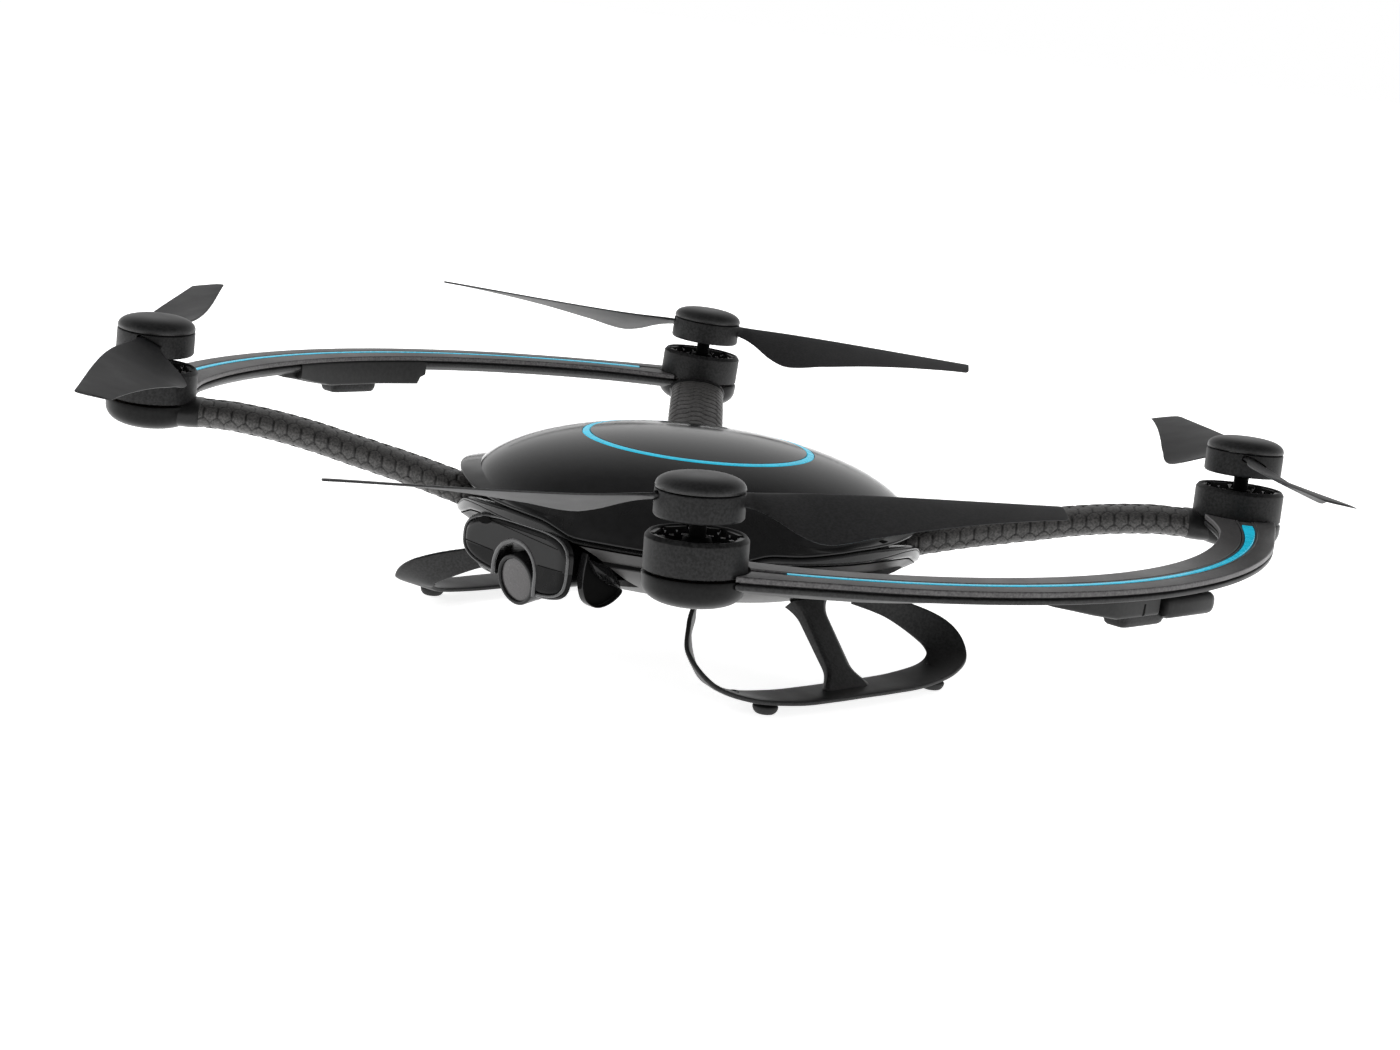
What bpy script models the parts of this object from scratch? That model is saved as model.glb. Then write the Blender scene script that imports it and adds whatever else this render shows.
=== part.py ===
"""Quadcopter drone: a round body on four diagonal arms, two side bows and a tilting camera.

The front is -Y, the drone's left is +X and up is +Z. The origin is the centre of the
flat face under the belly. Sizes here are millimetres and degrees; add_object scales
each mesh to metres.
"""
import math

import bmesh
import bpy
from mathutils import Matrix, Quaternion, Vector

MM = 0.001
GAP = 0.35                       # clearance between pieces that touch

# Motors: axis to axis across the diagonal, and the direction of the rear left one
WHEELBASE = 350.0
MOTOR_AZIMUTH = 45.36
MOTOR_PLANE = 36.5               # underside of the motor bells
MOTOR_CANT = 2.5                 # each motor leans about its own arm
CORNERS = {
    "front_left": (1, -1),
    "rear_left": (1, 1),
    "front_right": (-1, -1),
    "rear_right": (-1, 1),
}
REST_TURN = {"front_left": 53.0, "rear_left": 140.0, "front_right": 133.5, "rear_right": 42.5}
SIDES = {"left": 1, "right": -1}

# Body of revolution
DOME_RADIUS = 72.0
DOME_HEIGHT = 24.0
DOME_BASE = 20.9
SHELL_WALL = 2.0
LIP_RADIUS = 75.5
PARTING = 21.2                   # height of the line between the shells near an arm
PARTING_RISE = 2.2               # how much higher it runs midway between two arms
LIP_GAP = 0.4
MOUTH_ANGLE = 36.0               # the shells part over this angle on each side of an arm
MOUTH_DROP = 3.4
MOUTH_LIFT = 3.2
CLOSED_MOUTH = "front_left"      # this arm comes out of a plain hole
BAND_BOTTOM = 18.7
BAND_STEP = 2.2                  # least height of the lower shell's band
BELLY_RADIUS = 46.0
BELLY_SLOPE = 9.5
BODY_SEGMENTS = 48
RING_RADIUS = 36.2
RING_WIDTH = 2.2
RING_DEPTH = 1.0

# Arms: height of the centre line at each distance from the body's axis
ARM_LINE = [(60.0, 14.8), (73.0, 18.0), (91.0, 22.5), (104.0, 25.5), (125.0, 30.0), (145.0, 32.8), (156.0, 33.2)]
ARM_WIDTH_BODY = 21.0
ARM_WIDTH_MOTOR = 19.2
ARM_HEIGHT_BODY = 10.0
ARM_HEIGHT_MOTOR = 8.4
ARM_ROUNDNESS = 2.6
ARM_SIDES = 12
ARM_RINGS = 12
ARM_CLEARANCE = 0.4
SEAT_RADIUS = 15.2               # arms and bows end on this circle round a motor

# Side bows: a superellipse through the motor axes, seen from above
BOW_REACH = 179.7
BOW_POWER = 1.95
BOW_WIDTH = 17.0
BOW_END_WIDTH = 22.4
BOW_INSET = 0.8                  # the stripe runs this far outside the middle
BOW_TOP = 38.3
BOW_EDGE_HEIGHT = 3.4
BOW_KEEL = 32.9
BOW_RINGS = 30
STRIPE_WIDTH = 1.7
STRIPE_END_WIDTH = 4.6
STRIPE_DEPTH = 1.1

# Pods under the bows: y, inner x, outer x and bottom at each station
POD_STATIONS = [
    (-34.5, 168.0, 176.5, 31.5),
    (-22.5, 170.0, 180.5, 29.4),
    (-13.5, 171.0, 182.0, 28.2),
    (5.6, 171.0, 182.0, 28.0),
    (6.2, 171.0, 178.1, 28.0),
    (27.2, 171.0, 177.6, 28.0),
    (27.8, 170.4, 177.4, 29.8),
    (30.0, 170.0, 177.0, 31.2),
]
POD_TOP = 32.5
# foot under a pod: inner x, outer x, front y, rear y, underside; it is shorter above its step
FOOT_BLOCK = (172.3, 181.0, -9.8, 10.4, 24.8)
FOOT_STEP = 26.3
FOOT_UPPER_REAR = 5.0
ANTENNA_RADIUS = 2.7
ANTENNA_PLACE = (181.5, 29.5)
ANTENNA_SPAN = (7.2, 29.6)

# Motors and rotors, heights above the motor plane
BELL_RADIUS = 14.1
BELL_HEIGHT = 10.1
CUP_RADIUS = 14.4
CUP_DEPTH = 9.2
SHAFT_RADIUS = 2.35
HUB_RADIUS = 12.3
HUB_BOTTOM = 14.5
HUB_TOP = 21.9
CAP_HEIGHT = 4.1
LEAD_HEIGHT = 20.7
BLADE_TIP = 99.5
# radius, leading edge, chord, pitch, thickness
BLADE_STATIONS = [
    (0.0, 3.7, 7.4, 16.0, 3.0),
    (12.5, 3.7, 7.8, 18.0, 3.0),
    (18.0, 4.4, 12.0, 19.5, 2.9),
    (25.0, 6.2, 20.8, 21.0, 2.8),
    (32.0, 7.4, 25.5, 21.0, 2.6),
    (44.0, 7.8, 24.0, 17.5, 2.3),
    (62.0, 7.0, 19.5, 13.5, 2.0),
    (80.0, 5.6, 14.8, 10.5, 1.8),
    (BLADE_TIP, 4.2, 11.0, 8.0, 1.6),
]

# Camera in the nose
NOSE_HALF_WIDTH = 23.0
NOSE_FRONT = -74.0
NOSE_BACK = -50.0
NOSE_TOP = 20.0
NOSE_BOTTOM = -1.4
ARCH_HALF_WIDTH = 9.5
ARCH_TOP = 13.2
CAMERA_AXIS = (0.0, -64.0, 3.1)
CAMERA_RADIUS = 8.0
CAMERA_LENGTH = 10.0             # from the tilt axis to the front rim
CAMERA_TILT = 10.0               # the camera looks this far down at rest
PIN_RADIUS = 1.5
POCKET_HALF_WIDTH = 29.0
POCKET_TOP = 20.6

# Landing legs: stations of the rear half as x, y, z, width and twist of the ribbon
LEG_STATIONS = [
    (41.6, 37.0, -0.8, 6.2, -90.0),
    (50.1, 47.0, -5.2, 7.4, -84.0),
    (61.4, 55.5, -11.1, 11.6, -54.0),
    (68.9, 53.8, -16.2, 13.0, -12.0),
    (72.8, 44.5, -19.4, 14.2, -3.0),
    (74.9, 28.2, -20.9, 15.2, 0.0),
    (75.5, 13.0, -21.1, 15.4, 0.0),
    (75.5, 0.0, -21.1, 15.4, 0.0),
]
LEG_THICKNESS = 1.7
STRUT_TOP = Vector((54.3, 0.0, 0.0))
STRUT_FOOT = Vector((75.5, 0.0, -21.1))
LEG_STEPS = 4                    # rings between two stations
FOOT_PLACE = (76.8, 38.5)
FOOT_RADIUS = 4.0
FOOT_BOTTOM = -24.1

COLOURS = {
    "gloss_black": ((0.012, 0.012, 0.013), 0.12, 0.0),
    "satin_black": ((0.022, 0.022, 0.023), 0.42, 0.0),
    "blade_black": ((0.030, 0.030, 0.031), 0.50, 0.0),
    "arm_black": ((0.020, 0.020, 0.021), 0.48, 0.0),
    "bow_grey": ((0.060, 0.058, 0.058), 0.40, 0.0),
    "light_cyan": ((0.045, 0.520, 0.800), 0.30, 0.0),
    "steel": ((0.300, 0.300, 0.310), 0.30, 1.0),
    "copper": ((0.450, 0.200, 0.090), 0.40, 1.0),
    "lens_grey": ((0.180, 0.170, 0.170), 0.15, 0.0),
    "rubber": ((0.018, 0.018, 0.018), 0.80, 0.0),
    "board_green": ((0.020, 0.120, 0.050), 0.50, 0.0),
    "pack_grey": ((0.080, 0.080, 0.085), 0.60, 0.0),
}


# ---------------------------------------------------------------- general helpers

def clear_scene():
    for item in list(bpy.data.objects):
        bpy.data.objects.remove(item, do_unlink=True)


def material(name):
    """One Principled material for each name in COLOURS."""
    found = bpy.data.materials.get(name)
    if found:
        return found
    colour, roughness, metallic = COLOURS[name]
    made = bpy.data.materials.new(name)
    made.use_nodes = True
    shader = made.node_tree.nodes["Principled BSDF"]
    shader.inputs["Base Color"].default_value = (*colour, 1.0)
    shader.inputs["Roughness"].default_value = roughness
    shader.inputs["Metallic"].default_value = metallic
    made.diffuse_color = (*colour, 1.0)
    return made


def mesh_from(points, faces, name):
    """A mesh in metres with its faces turned outward."""
    shape = bmesh.new()
    corners = [shape.verts.new(Vector(point) * MM) for point in points]
    for face in faces:
        shape.faces.new([corners[index] for index in face])
    bmesh.ops.recalc_face_normals(shape, faces=shape.faces)
    mesh = bpy.data.meshes.new(name)
    shape.to_mesh(mesh)
    shape.free()
    return mesh


def add_object(name, mesh, finish, parent=None, sharp=35.0):
    made = bpy.data.objects.new(name, mesh)
    bpy.context.collection.objects.link(made)
    if finish and not mesh.materials:
        mesh.materials.append(material(finish))
    mesh.shade_smooth()
    mesh.set_sharp_from_angle(angle=math.radians(sharp))
    made.parent = parent
    return made


def add_cutter(name, mesh, parent=None):
    made = bpy.data.objects.new(name, mesh)
    bpy.context.collection.objects.link(made)
    made.hide_render = True
    made.display_type = "WIRE"
    made.parent = parent
    return made


def combine(target, tool, operation):
    change = target.modifiers.new(tool.name, "BOOLEAN")
    change.operation = operation
    change.solver = "EXACT"
    change.object = tool


def smooth(value):
    """0 to 1 with level ends."""
    value = min(1.0, max(0.0, value))
    return value * value * (3.0 - 2.0 * value)


def read_line(stations, where):
    """Values between stations, each a key followed by numbers, on a smooth curve."""
    keys = [station[0] for station in stations]
    last = len(keys) - 2
    index = 0
    while index < last and where > keys[index + 1]:
        index += 1
    step = keys[index + 1] - keys[index]
    share = (where - keys[index]) / step
    return catmull([station[1:] for station in stations], index, share)


def catmull(rows, index, share):
    """Catmull-Rom blend between rows[index] and rows[index + 1]."""
    low = rows[max(index - 1, 0)]
    start = rows[index]
    end = rows[index + 1]
    high = rows[min(index + 2, len(rows) - 1)]
    square = share * share
    cube = square * share
    return [
        0.5 * (2 * b + (c - a) * share + (2 * a - 5 * b + 4 * c - d) * square + (3 * b - a - 3 * c + d) * cube)
        for a, b, c, d in zip(low, start, end, high)
    ]


def stitch(upper, lower, offsets):
    """Triangles across an end, between two chains that run from +offset to -offset."""
    faces = []
    high = 0
    low = 0
    while high < len(upper) - 1 or low < len(lower) - 1:
        can_rise = high < len(upper) - 1
        if can_rise and (low == len(lower) - 1 or offsets[upper[high + 1]] >= offsets[lower[low + 1]]):
            face = (upper[high], upper[high + 1], lower[low])
            high += 1
        else:
            face = (upper[high], lower[low + 1], lower[low])
            low += 1
        if len(set(face)) == 3:
            faces.append(face)
    return faces


def loft(rings, name, end_faces=None):
    """Closed solid through equal rings of points. A curved end needs its own faces."""
    count = len(rings[0])
    end_faces = end_faces or [tuple(range(count))]
    points = [point for ring in rings for point in ring]
    faces = []
    for row in range(len(rings) - 1):
        for column in range(count):
            beside = (column + 1) % count
            faces.append((
                row * count + column,
                row * count + beside,
                (row + 1) * count + beside,
                (row + 1) * count + column,
            ))
    for first in (0, (len(rings) - 1) * count):
        faces += [tuple(first + index for index in face) for face in end_faces]
    return mesh_from(points, faces, name)


def revolve(profile_at, segments, name, closed):
    """Turn a profile of (radius, height) round Z. It may change with the azimuth.

    A closed profile is a loop that stays off the axis. An open one starts and ends on
    the axis, where each end is a single point.
    """
    azimuths = [2 * math.pi * index / segments for index in range(segments)]
    profiles = [profile_at(azimuth) for azimuth in azimuths]
    rows = len(profiles[0])
    points = []
    index_of = {}
    for row in range(rows):
        on_axis = profiles[0][row][0] == 0.0
        for column, azimuth in enumerate(azimuths):
            if on_axis and column > 0:
                index_of[row, column] = index_of[row, 0]
                continue
            radius, height = profiles[column][row]
            index_of[row, column] = len(points)
            points.append((radius * math.cos(azimuth), radius * math.sin(azimuth), height))
    faces = []
    pairs = [(row, (row + 1) % rows) for row in range(rows if closed else rows - 1)]
    for low, high in pairs:
        for column in range(segments):
            beside = (column + 1) % segments
            ring = [index_of[low, column], index_of[low, beside], index_of[high, beside], index_of[high, column]]
            faces.append(tuple(dict.fromkeys(ring)))
    return mesh_from(points, faces, name)


def turned(profile, segments, name, closed=False):
    return revolve(lambda azimuth: profile, segments, name, closed)


def superellipse(half_width, half_height, power, count):
    """Points of a rounded rectangle outline, starting on +X."""
    outline = []
    for index in range(count):
        angle = 2 * math.pi * index / count
        across = math.cos(angle)
        up = math.sin(angle)
        outline.append((
            half_width * math.copysign(abs(across) ** (2 / power), across),
            half_height * math.copysign(abs(up) ** (2 / power), up),
        ))
    return outline


def box_mesh(low, high, name):
    corners = [(low[0], low[1]), (high[0], low[1]), (high[0], high[1]), (low[0], high[1])]
    rings = [[(x, y, height) for x, y in corners] for height in (low[2], high[2])]
    return loft(rings, name)


# ---------------------------------------------------------------- body

def from_arm(azimuth):
    """Degrees between an azimuth and the nearest arm."""
    folded = math.degrees(azimuth) % 180.0
    return min(abs(folded - MOTOR_AZIMUTH), abs(folded - (180.0 - MOTOR_AZIMUTH)))


def mouth(azimuth):
    """How far the shells part: 1 at an arm, 0 away from it and round the closed mouth."""
    side, end = CORNERS[CLOSED_MOUTH]
    if side * math.cos(azimuth) > 0.0 and end * math.sin(azimuth) > 0.0:
        return 0.0
    return smooth(1.0 - from_arm(azimuth) / MOUTH_ANGLE)


def parting_height(azimuth):
    return PARTING + PARTING_RISE * smooth((from_arm(azimuth) - 20.0) / 20.0)


def band_top(azimuth):
    """Height of the lower shell's top edge, which dips under an arm."""
    return parting_height(azimuth) - MOUTH_DROP * mouth(azimuth)


def lip_bottom(azimuth):
    return parting_height(azimuth) + LIP_GAP + MOUTH_LIFT * mouth(azimuth)


def dome_height(radius, radius_limit=DOME_RADIUS, height=DOME_HEIGHT):
    share = radius / radius_limit
    return DOME_BASE + height * math.sqrt(max(0.0, 1.0 - share * share))


def top_shell_profile(azimuth):
    """Outer dome with a groove for the light ring, the flared lip, and the inner face."""
    inner_edge = RING_RADIUS - RING_WIDTH / 2 - GAP
    outer_edge = RING_RADIUS + RING_WIDTH / 2 + GAP
    low = lip_bottom(azimuth)
    outer = [(0.0, dome_height(0.0)), (18.0, dome_height(18.0)), (inner_edge, dome_height(inner_edge))]
    outer += [(radius, dome_height(radius) - RING_DEPTH) for radius in (inner_edge, outer_edge)]
    outer += [(radius, dome_height(radius)) for radius in (outer_edge, 49.0, 59.0, 66.0)]
    outer += [(70.2, max(dome_height(70.2), low + 2.6))]
    lip = [(71.9, low + 2.1), (LIP_RADIUS, low + 1.1), (LIP_RADIUS - 0.6, low), (72.6, low)]
    inner_radius = DOME_RADIUS - SHELL_WALL
    inner_height = DOME_HEIGHT - SHELL_WALL
    inner = [(radius, dome_height(radius, inner_radius, inner_height)) for radius in (66.5, 58.0, 44.0, 24.0)]
    inner[0] = (68.6, dome_height(68.6, inner_radius, inner_height))
    return outer + lip + inner + [(0.0, DOME_BASE + inner_height)]


def build_top_shell():
    mesh = revolve(top_shell_profile, BODY_SEGMENTS, "top_shell", closed=False)
    shell = add_object("top_shell", mesh, "gloss_black")
    cut_arm_holes(shell)


def build_status_ring():
    """Cyan light ring, flush with the dome."""
    inner = RING_RADIUS - RING_WIDTH / 2
    outer = RING_RADIUS + RING_WIDTH / 2
    floor = dome_height(outer) - RING_DEPTH + GAP
    profile = [(inner, dome_height(inner)), (outer, dome_height(outer)), (outer, floor), (inner, floor + 0.3)]
    add_object("status_ring", turned(profile, BODY_SEGMENTS, "status_ring", closed=True), "light_cyan")


def belly_rise(share, rim):
    """Height of the belly between its flat face (share 0) and its rim (share 1)."""
    return BELLY_SLOPE * share + (rim - BELLY_SLOPE) * share ** 3


def lower_shell_profile(azimuth):
    """Bowl from the belly cover's edge up to the band, with the band and the inner face."""
    top = band_top(azimuth)
    rim = min(BAND_BOTTOM, top - BAND_STEP)
    shares = (0.03, 0.3, 0.6, 0.85, 1.0)
    outer = [(BELLY_RADIUS + 27.2 * share, belly_rise(share, rim)) for share in shares]
    band_radius = LIP_RADIUS - 0.2
    band = [(band_radius - 0.5, rim + 0.3), (band_radius, rim + 1.0), (band_radius, top - 0.8), (74.6, top)]
    inner = [
        (BELLY_RADIUS + 25.4 * share + 0.01, SHELL_WALL + belly_rise(share, rim - SHELL_WALL))
        for share in shares
    ]
    return outer + band + [(71.4, top)] + inner[::-1]


def nose_pocket(name):
    """Cutter that opens the lower shell for the camera and its cheeks."""
    outline = superellipse(POCKET_HALF_WIDTH, POCKET_TOP, 5.0, 24)
    rings = [[(x, y, z) for x, z in outline] for y in (-90.0, -49.0)]
    return add_cutter(name, loft(rings, name))


def arm_hole_mesh(corner):
    """Cutter a little larger than an arm, across the shells' walls."""
    rings = []
    for distance in (62.0, 70.0, 78.0, 84.0):
        rings.append(arm_ring(corner, distance, ARM_HEIGHT_BODY / 2 + ARM_CLEARANCE, grow=ARM_CLEARANCE))
    return loft(rings, "arm_hole")


def cut_arm_holes(shell):
    for corner in CORNERS:
        hole = add_cutter("arm_hole_%s_%s" % (shell.name, corner), arm_hole_mesh(corner))
        combine(shell, hole, "DIFFERENCE")


def build_lower_body():
    bowl = revolve(lower_shell_profile, BODY_SEGMENTS, "lower_shell", closed=True)
    shell = add_object("lower_shell", bowl, "gloss_black")
    combine(shell, nose_pocket("nose_pocket"), "DIFFERENCE")
    cut_arm_holes(shell)
    cover = [(0.0, 0.0), (BELLY_RADIUS, 0.0), (BELLY_RADIUS, SHELL_WALL), (0.0, SHELL_WALL)]
    add_object("belly_cover", turned(cover, BODY_SEGMENTS, "belly_cover"), "satin_black")


def build_inner_parts():
    """Battery, chassis plate and flight board, all inside the shells."""
    add_object("battery", box_mesh((-24.0, -30.0, 2.6), (24.0, 40.0, 14.6), "battery"), "pack_grey")
    plate = [(0.0, 15.6), (49.4, 15.6), (49.4, 18.0), (0.0, 18.0)]
    add_object("chassis_plate", turned(plate, 24, "chassis_plate"), "satin_black")
    add_object("flight_board", box_mesh((-25.0, -25.0, 21.0), (25.0, 25.0, 22.6), "flight_board"), "board_green")


# ---------------------------------------------------------------- arms and bows

def arm_width(distance):
    start = ARM_LINE[0][0]
    share = (distance - start) / (ARM_LINE[-1][0] - start)
    return ARM_WIDTH_BODY + (ARM_WIDTH_MOTOR - ARM_WIDTH_BODY) * share


def arm_ring(corner, distance, half_height, seat=False, grow=0.0):
    """One section of an arm; the last one follows the round seat of the motor."""
    side, end = CORNERS[corner]
    turn = math.radians(MOTOR_AZIMUTH)
    along = Vector((side * math.cos(turn), end * math.sin(turn), 0.0))
    across = Vector((-along.y, along.x, 0.0))
    height = read_line(ARM_LINE, distance)[0]
    ring = []
    for offset, up in superellipse(arm_width(distance) / 2 + grow, half_height, ARM_ROUNDNESS, ARM_SIDES):
        reach = distance
        if seat:
            reach = WHEELBASE / 2 - math.sqrt(SEAT_RADIUS ** 2 - offset ** 2)
        ring.append(along * reach + across * offset + Vector((0.0, 0.0, height + up)))
    return ring


def build_arm(corner):
    start = ARM_LINE[0][0]
    end = ARM_LINE[-1][0]
    rings = []
    for index in range(ARM_RINGS + 1):
        share = index / ARM_RINGS
        half_height = (ARM_HEIGHT_BODY + (ARM_HEIGHT_MOTOR - ARM_HEIGHT_BODY) * share) / 2
        rings.append(arm_ring(corner, start + (end - start) * share, half_height))
    rings.append(arm_ring(corner, end, ARM_HEIGHT_MOTOR / 2, seat=True))
    offsets = [offset for offset, _ in superellipse(ARM_WIDTH_MOTOR / 2, 1.0, ARM_ROUNDNESS, ARM_SIDES)]
    half = ARM_SIDES // 2
    upper = list(range(half + 1))
    lower = [0] + list(range(ARM_SIDES - 1, half - 1, -1))
    add_object("arm_" + corner, loft(rings, "arm_" + corner, stitch(upper, lower, offsets)), "arm_black")


def bow_half_length():
    """Semi-axis along Y that carries the superellipse through the motor axes."""
    x = WHEELBASE / 2 * math.cos(math.radians(MOTOR_AZIMUTH))
    y = WHEELBASE / 2 * math.sin(math.radians(MOTOR_AZIMUTH))
    return y / (1.0 - (x / BOW_REACH) ** BOW_POWER) ** (1.0 / BOW_POWER)


def bow_point(share):
    """Centre line of the left bow: -1 at the front motor, +1 at the rear motor."""
    semi = bow_half_length()
    motor_x = WHEELBASE / 2 * math.cos(math.radians(MOTOR_AZIMUTH))
    motor_y = WHEELBASE / 2 * math.sin(math.radians(MOTOR_AZIMUTH))
    limit = math.atan2((motor_y / semi) ** (BOW_POWER / 2), (motor_x / BOW_REACH) ** (BOW_POWER / 2))
    angle = share * limit
    x = BOW_REACH * math.cos(angle) ** (2 / BOW_POWER)
    y = semi * math.copysign(abs(math.sin(angle)) ** (2 / BOW_POWER), angle)
    return Vector((x, y, 0.0))


def bow_frame(share):
    """Point, direction along the bow and direction outward."""
    step = 0.004
    along = (bow_point(min(share + step, 1.0)) - bow_point(max(share - step, -1.0))).normalized()
    outward = Vector((along.y, -along.x, 0.0))
    return bow_point(share), along, outward


def stripe_half_width(share):
    """The stripe starts as a thin line in front and widens behind."""
    grown = smooth((share - 0.45) / 0.5)
    return (STRIPE_WIDTH + (STRIPE_END_WIDTH - STRIPE_WIDTH) * grown) / 2


def bow_shares():
    """Stations along a bow that stop on the motor seats, with even spacing."""
    chord = SEAT_RADIUS + 5.0
    motor = bow_point(1.0)
    limit = 1.0
    while (bow_point(limit) - motor).length < chord:
        limit -= 0.002
    return [-limit + 2.0 * limit * index / BOW_RINGS for index in range(BOW_RINGS + 1)]


def bow_section(share, half_width):
    """Flat top with the stripe's groove, upright edges and a keel below."""
    groove = stripe_half_width(share) + GAP
    floor = BOW_TOP - STRIPE_DEPTH
    low = BOW_TOP - BOW_EDGE_HEIGHT
    return [
        (half_width, BOW_TOP - 0.5),
        (half_width - 0.6, BOW_TOP),
        (half_width / 2, BOW_TOP),
        (groove, BOW_TOP),
        (groove, floor),
        (-groove, floor),
        (-groove, BOW_TOP),
        (-half_width / 2, BOW_TOP),
        (0.6 - half_width, BOW_TOP),
        (-half_width, BOW_TOP - 0.5),
        (-half_width, low),
        (-half_width / 2, BOW_KEEL),
        (0.0, BOW_KEEL - 0.3),
        (half_width / 2, BOW_KEEL),
        (half_width, low),
    ]


def bow_width(share):
    widening = smooth((abs(share) - 0.6) / 0.4)
    return BOW_WIDTH + (BOW_END_WIDTH - BOW_WIDTH) * widening


def seat_ring(ring, motor, along):
    """Slide the points of an end ring along the bow until they lie on the motor's seat."""
    moved = []
    for point in ring:
        apart = Vector((point.x - motor.x, point.y - motor.y, 0.0))
        forward = apart.dot(along)
        sideways = (apart - along * forward).length
        reach = math.sqrt(max(SEAT_RADIUS ** 2 - sideways ** 2, 0.0))
        moved.append(point - along * (forward - math.copysign(reach, forward)))
    return moved


def shift(across):
    """Sideways offset of the bow's edges, which leaves the stripe's groove in place."""
    return BOW_INSET if abs(across) > STRIPE_END_WIDTH else 0.0


def build_bow(side_name):
    side = SIDES[side_name]
    rings = []
    for share in bow_shares():
        point, along, outward = bow_frame(share)
        section = bow_section(share, bow_width(share) / 2)
        rings.append([
            point + outward * (across - shift(across)) + Vector((0.0, 0.0, height))
            for across, height in section
        ])
    for end, place in ((-1.0, 0), (1.0, len(rings))):
        motor = bow_point(end)
        _, along, _ = bow_frame(end * 0.93)
        nearest = rings[0] if end < 0 else rings[-1]
        rings.insert(place, seat_ring(nearest, motor, along))
    rings = [[(side * point.x, point.y, point.z) for point in ring] for ring in rings]
    offsets = [across for across, _ in bow_section(1.0, BOW_END_WIDTH / 2)]
    upper = list(range(10))
    lower = [14, 13, 12, 11, 10]
    add_object("bow_" + side_name, loft(rings, "bow_" + side_name, stitch(upper, lower, offsets)), "bow_grey")


def build_bow_light(side_name):
    """Light strip let into the top of a bow."""
    side = SIDES[side_name]
    floor = BOW_TOP - STRIPE_DEPTH + GAP
    rings = []
    for share in [value for value in bow_shares() if -0.74 < value < 0.9]:
        point, _, outward = bow_frame(share)
        half = stripe_half_width(share)
        ring = []
        for across, height in ((half, BOW_TOP), (-half, BOW_TOP), (-half, floor), (half, floor)):
            place = point + outward * across
            ring.append((side * place.x, place.y, height))
        rings.append(ring)
    add_object("bow_light_" + side_name, loft(rings, "bow_light_" + side_name), "light_cyan")


def build_side_pod(side_name):
    """Block under a bow: a sloped fairing in front, a foot below and a step for the antenna."""
    side = SIDES[side_name]
    rings = []
    for y, inner, outer, bottom in POD_STATIONS:
        corners = ((inner, POD_TOP), (outer, POD_TOP), (outer, bottom + 0.5), (outer - 0.7, bottom),
                   (inner + 0.7, bottom), (inner, bottom + 0.5))
        rings.append([(side * x, y, z) for x, z in corners])
    pod = add_object("side_pod_" + side_name, loft(rings, "side_pod_" + side_name), "satin_black")
    inner, outer, front, rear, low = FOOT_BLOCK
    block = []
    for z, taper, end in ((low, 1.0, rear), (low + 0.6, 0.4, rear), (FOOT_STEP, 0.0, rear),
                          (FOOT_STEP + 0.05, 0.0, FOOT_UPPER_REAR), (low + 5.0, 0.0, FOOT_UPPER_REAR)):
        plan = ((inner + taper, front + taper), (outer - taper, front + taper),
                (outer - taper, end - taper), (inner + taper, end - taper))
        block.append([(side * x, y, z) for x, y in plan])
    combine(pod, add_cutter("pod_foot_" + side_name, loft(block, "pod_foot")), "UNION")


def build_antenna(side_name):
    """Capsule along the outer face of a pod."""
    side = SIDES[side_name]
    centre_x, centre_z = ANTENNA_PLACE
    start, end = ANTENNA_SPAN
    rings = []
    for share_of_radius, y in ((0.6, start), (1.0, start + 1.2), (1.0, end - 1.2), (0.6, end)):
        radius = ANTENNA_RADIUS * share_of_radius
        circle = superellipse(radius, radius, 2.0, 12)
        rings.append([(side * (centre_x + x), y, centre_z + z) for x, z in circle])
    add_object("antenna_" + side_name, loft(rings, "antenna_" + side_name), "satin_black")


# ---------------------------------------------------------------- motors and rotors

def cup_profile():
    top = -GAP
    return [
        (0.0, -CUP_DEPTH),
        (8.0, -CUP_DEPTH + 0.2),
        (11.6, -CUP_DEPTH + 1.9),
        (13.7, -CUP_DEPTH + 4.8),
        (CUP_RADIUS, top - 1.5),
        (CUP_RADIUS, top),
        (0.0, top),
    ]


def bell_profile():
    """Open cylinder with a web that carries the shaft and a chamfered rim above it."""
    web_top = BELL_HEIGHT - 2.5
    web_bottom = web_top - 1.4
    bore = SHAFT_RADIUS + GAP
    return [
        (BELL_RADIUS, 0.0),
        (BELL_RADIUS, BELL_HEIGHT - 0.8),
        (BELL_RADIUS - 0.8, BELL_HEIGHT),
        (BELL_RADIUS - 1.7, BELL_HEIGHT),
        (BELL_RADIUS - 1.7, web_top),
        (bore, web_top),
        (bore, web_bottom),
        (BELL_RADIUS - 1.5, web_bottom),
        (BELL_RADIUS - 1.5, 0.0),
    ]


def stator_profile():
    outer = BELL_RADIUS - 2.2
    inner = SHAFT_RADIUS + GAP
    top = BELL_HEIGHT - 4.3
    return [(outer, 0.0), (outer, top), (inner, top), (inner, 0.0)]


def shaft_profile():
    top = HUB_BOTTOM + 1.5
    return [(0.0, 0.3), (SHAFT_RADIUS, 0.3), (SHAFT_RADIUS, top), (0.0, top)]


def hub_profile():
    """Cup whose open top the cap closes; the shaft comes up through its floor."""
    floor = HUB_BOTTOM + 2.1
    bore = SHAFT_RADIUS + GAP
    return [
        (HUB_RADIUS - 0.7, HUB_BOTTOM),
        (HUB_RADIUS, HUB_BOTTOM + 0.7),
        (HUB_RADIUS, HUB_TOP),
        (HUB_RADIUS - 1.7, HUB_TOP),
        (HUB_RADIUS - 1.7, floor),
        (bore, floor),
        (bore, HUB_BOTTOM),
    ]


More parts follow.
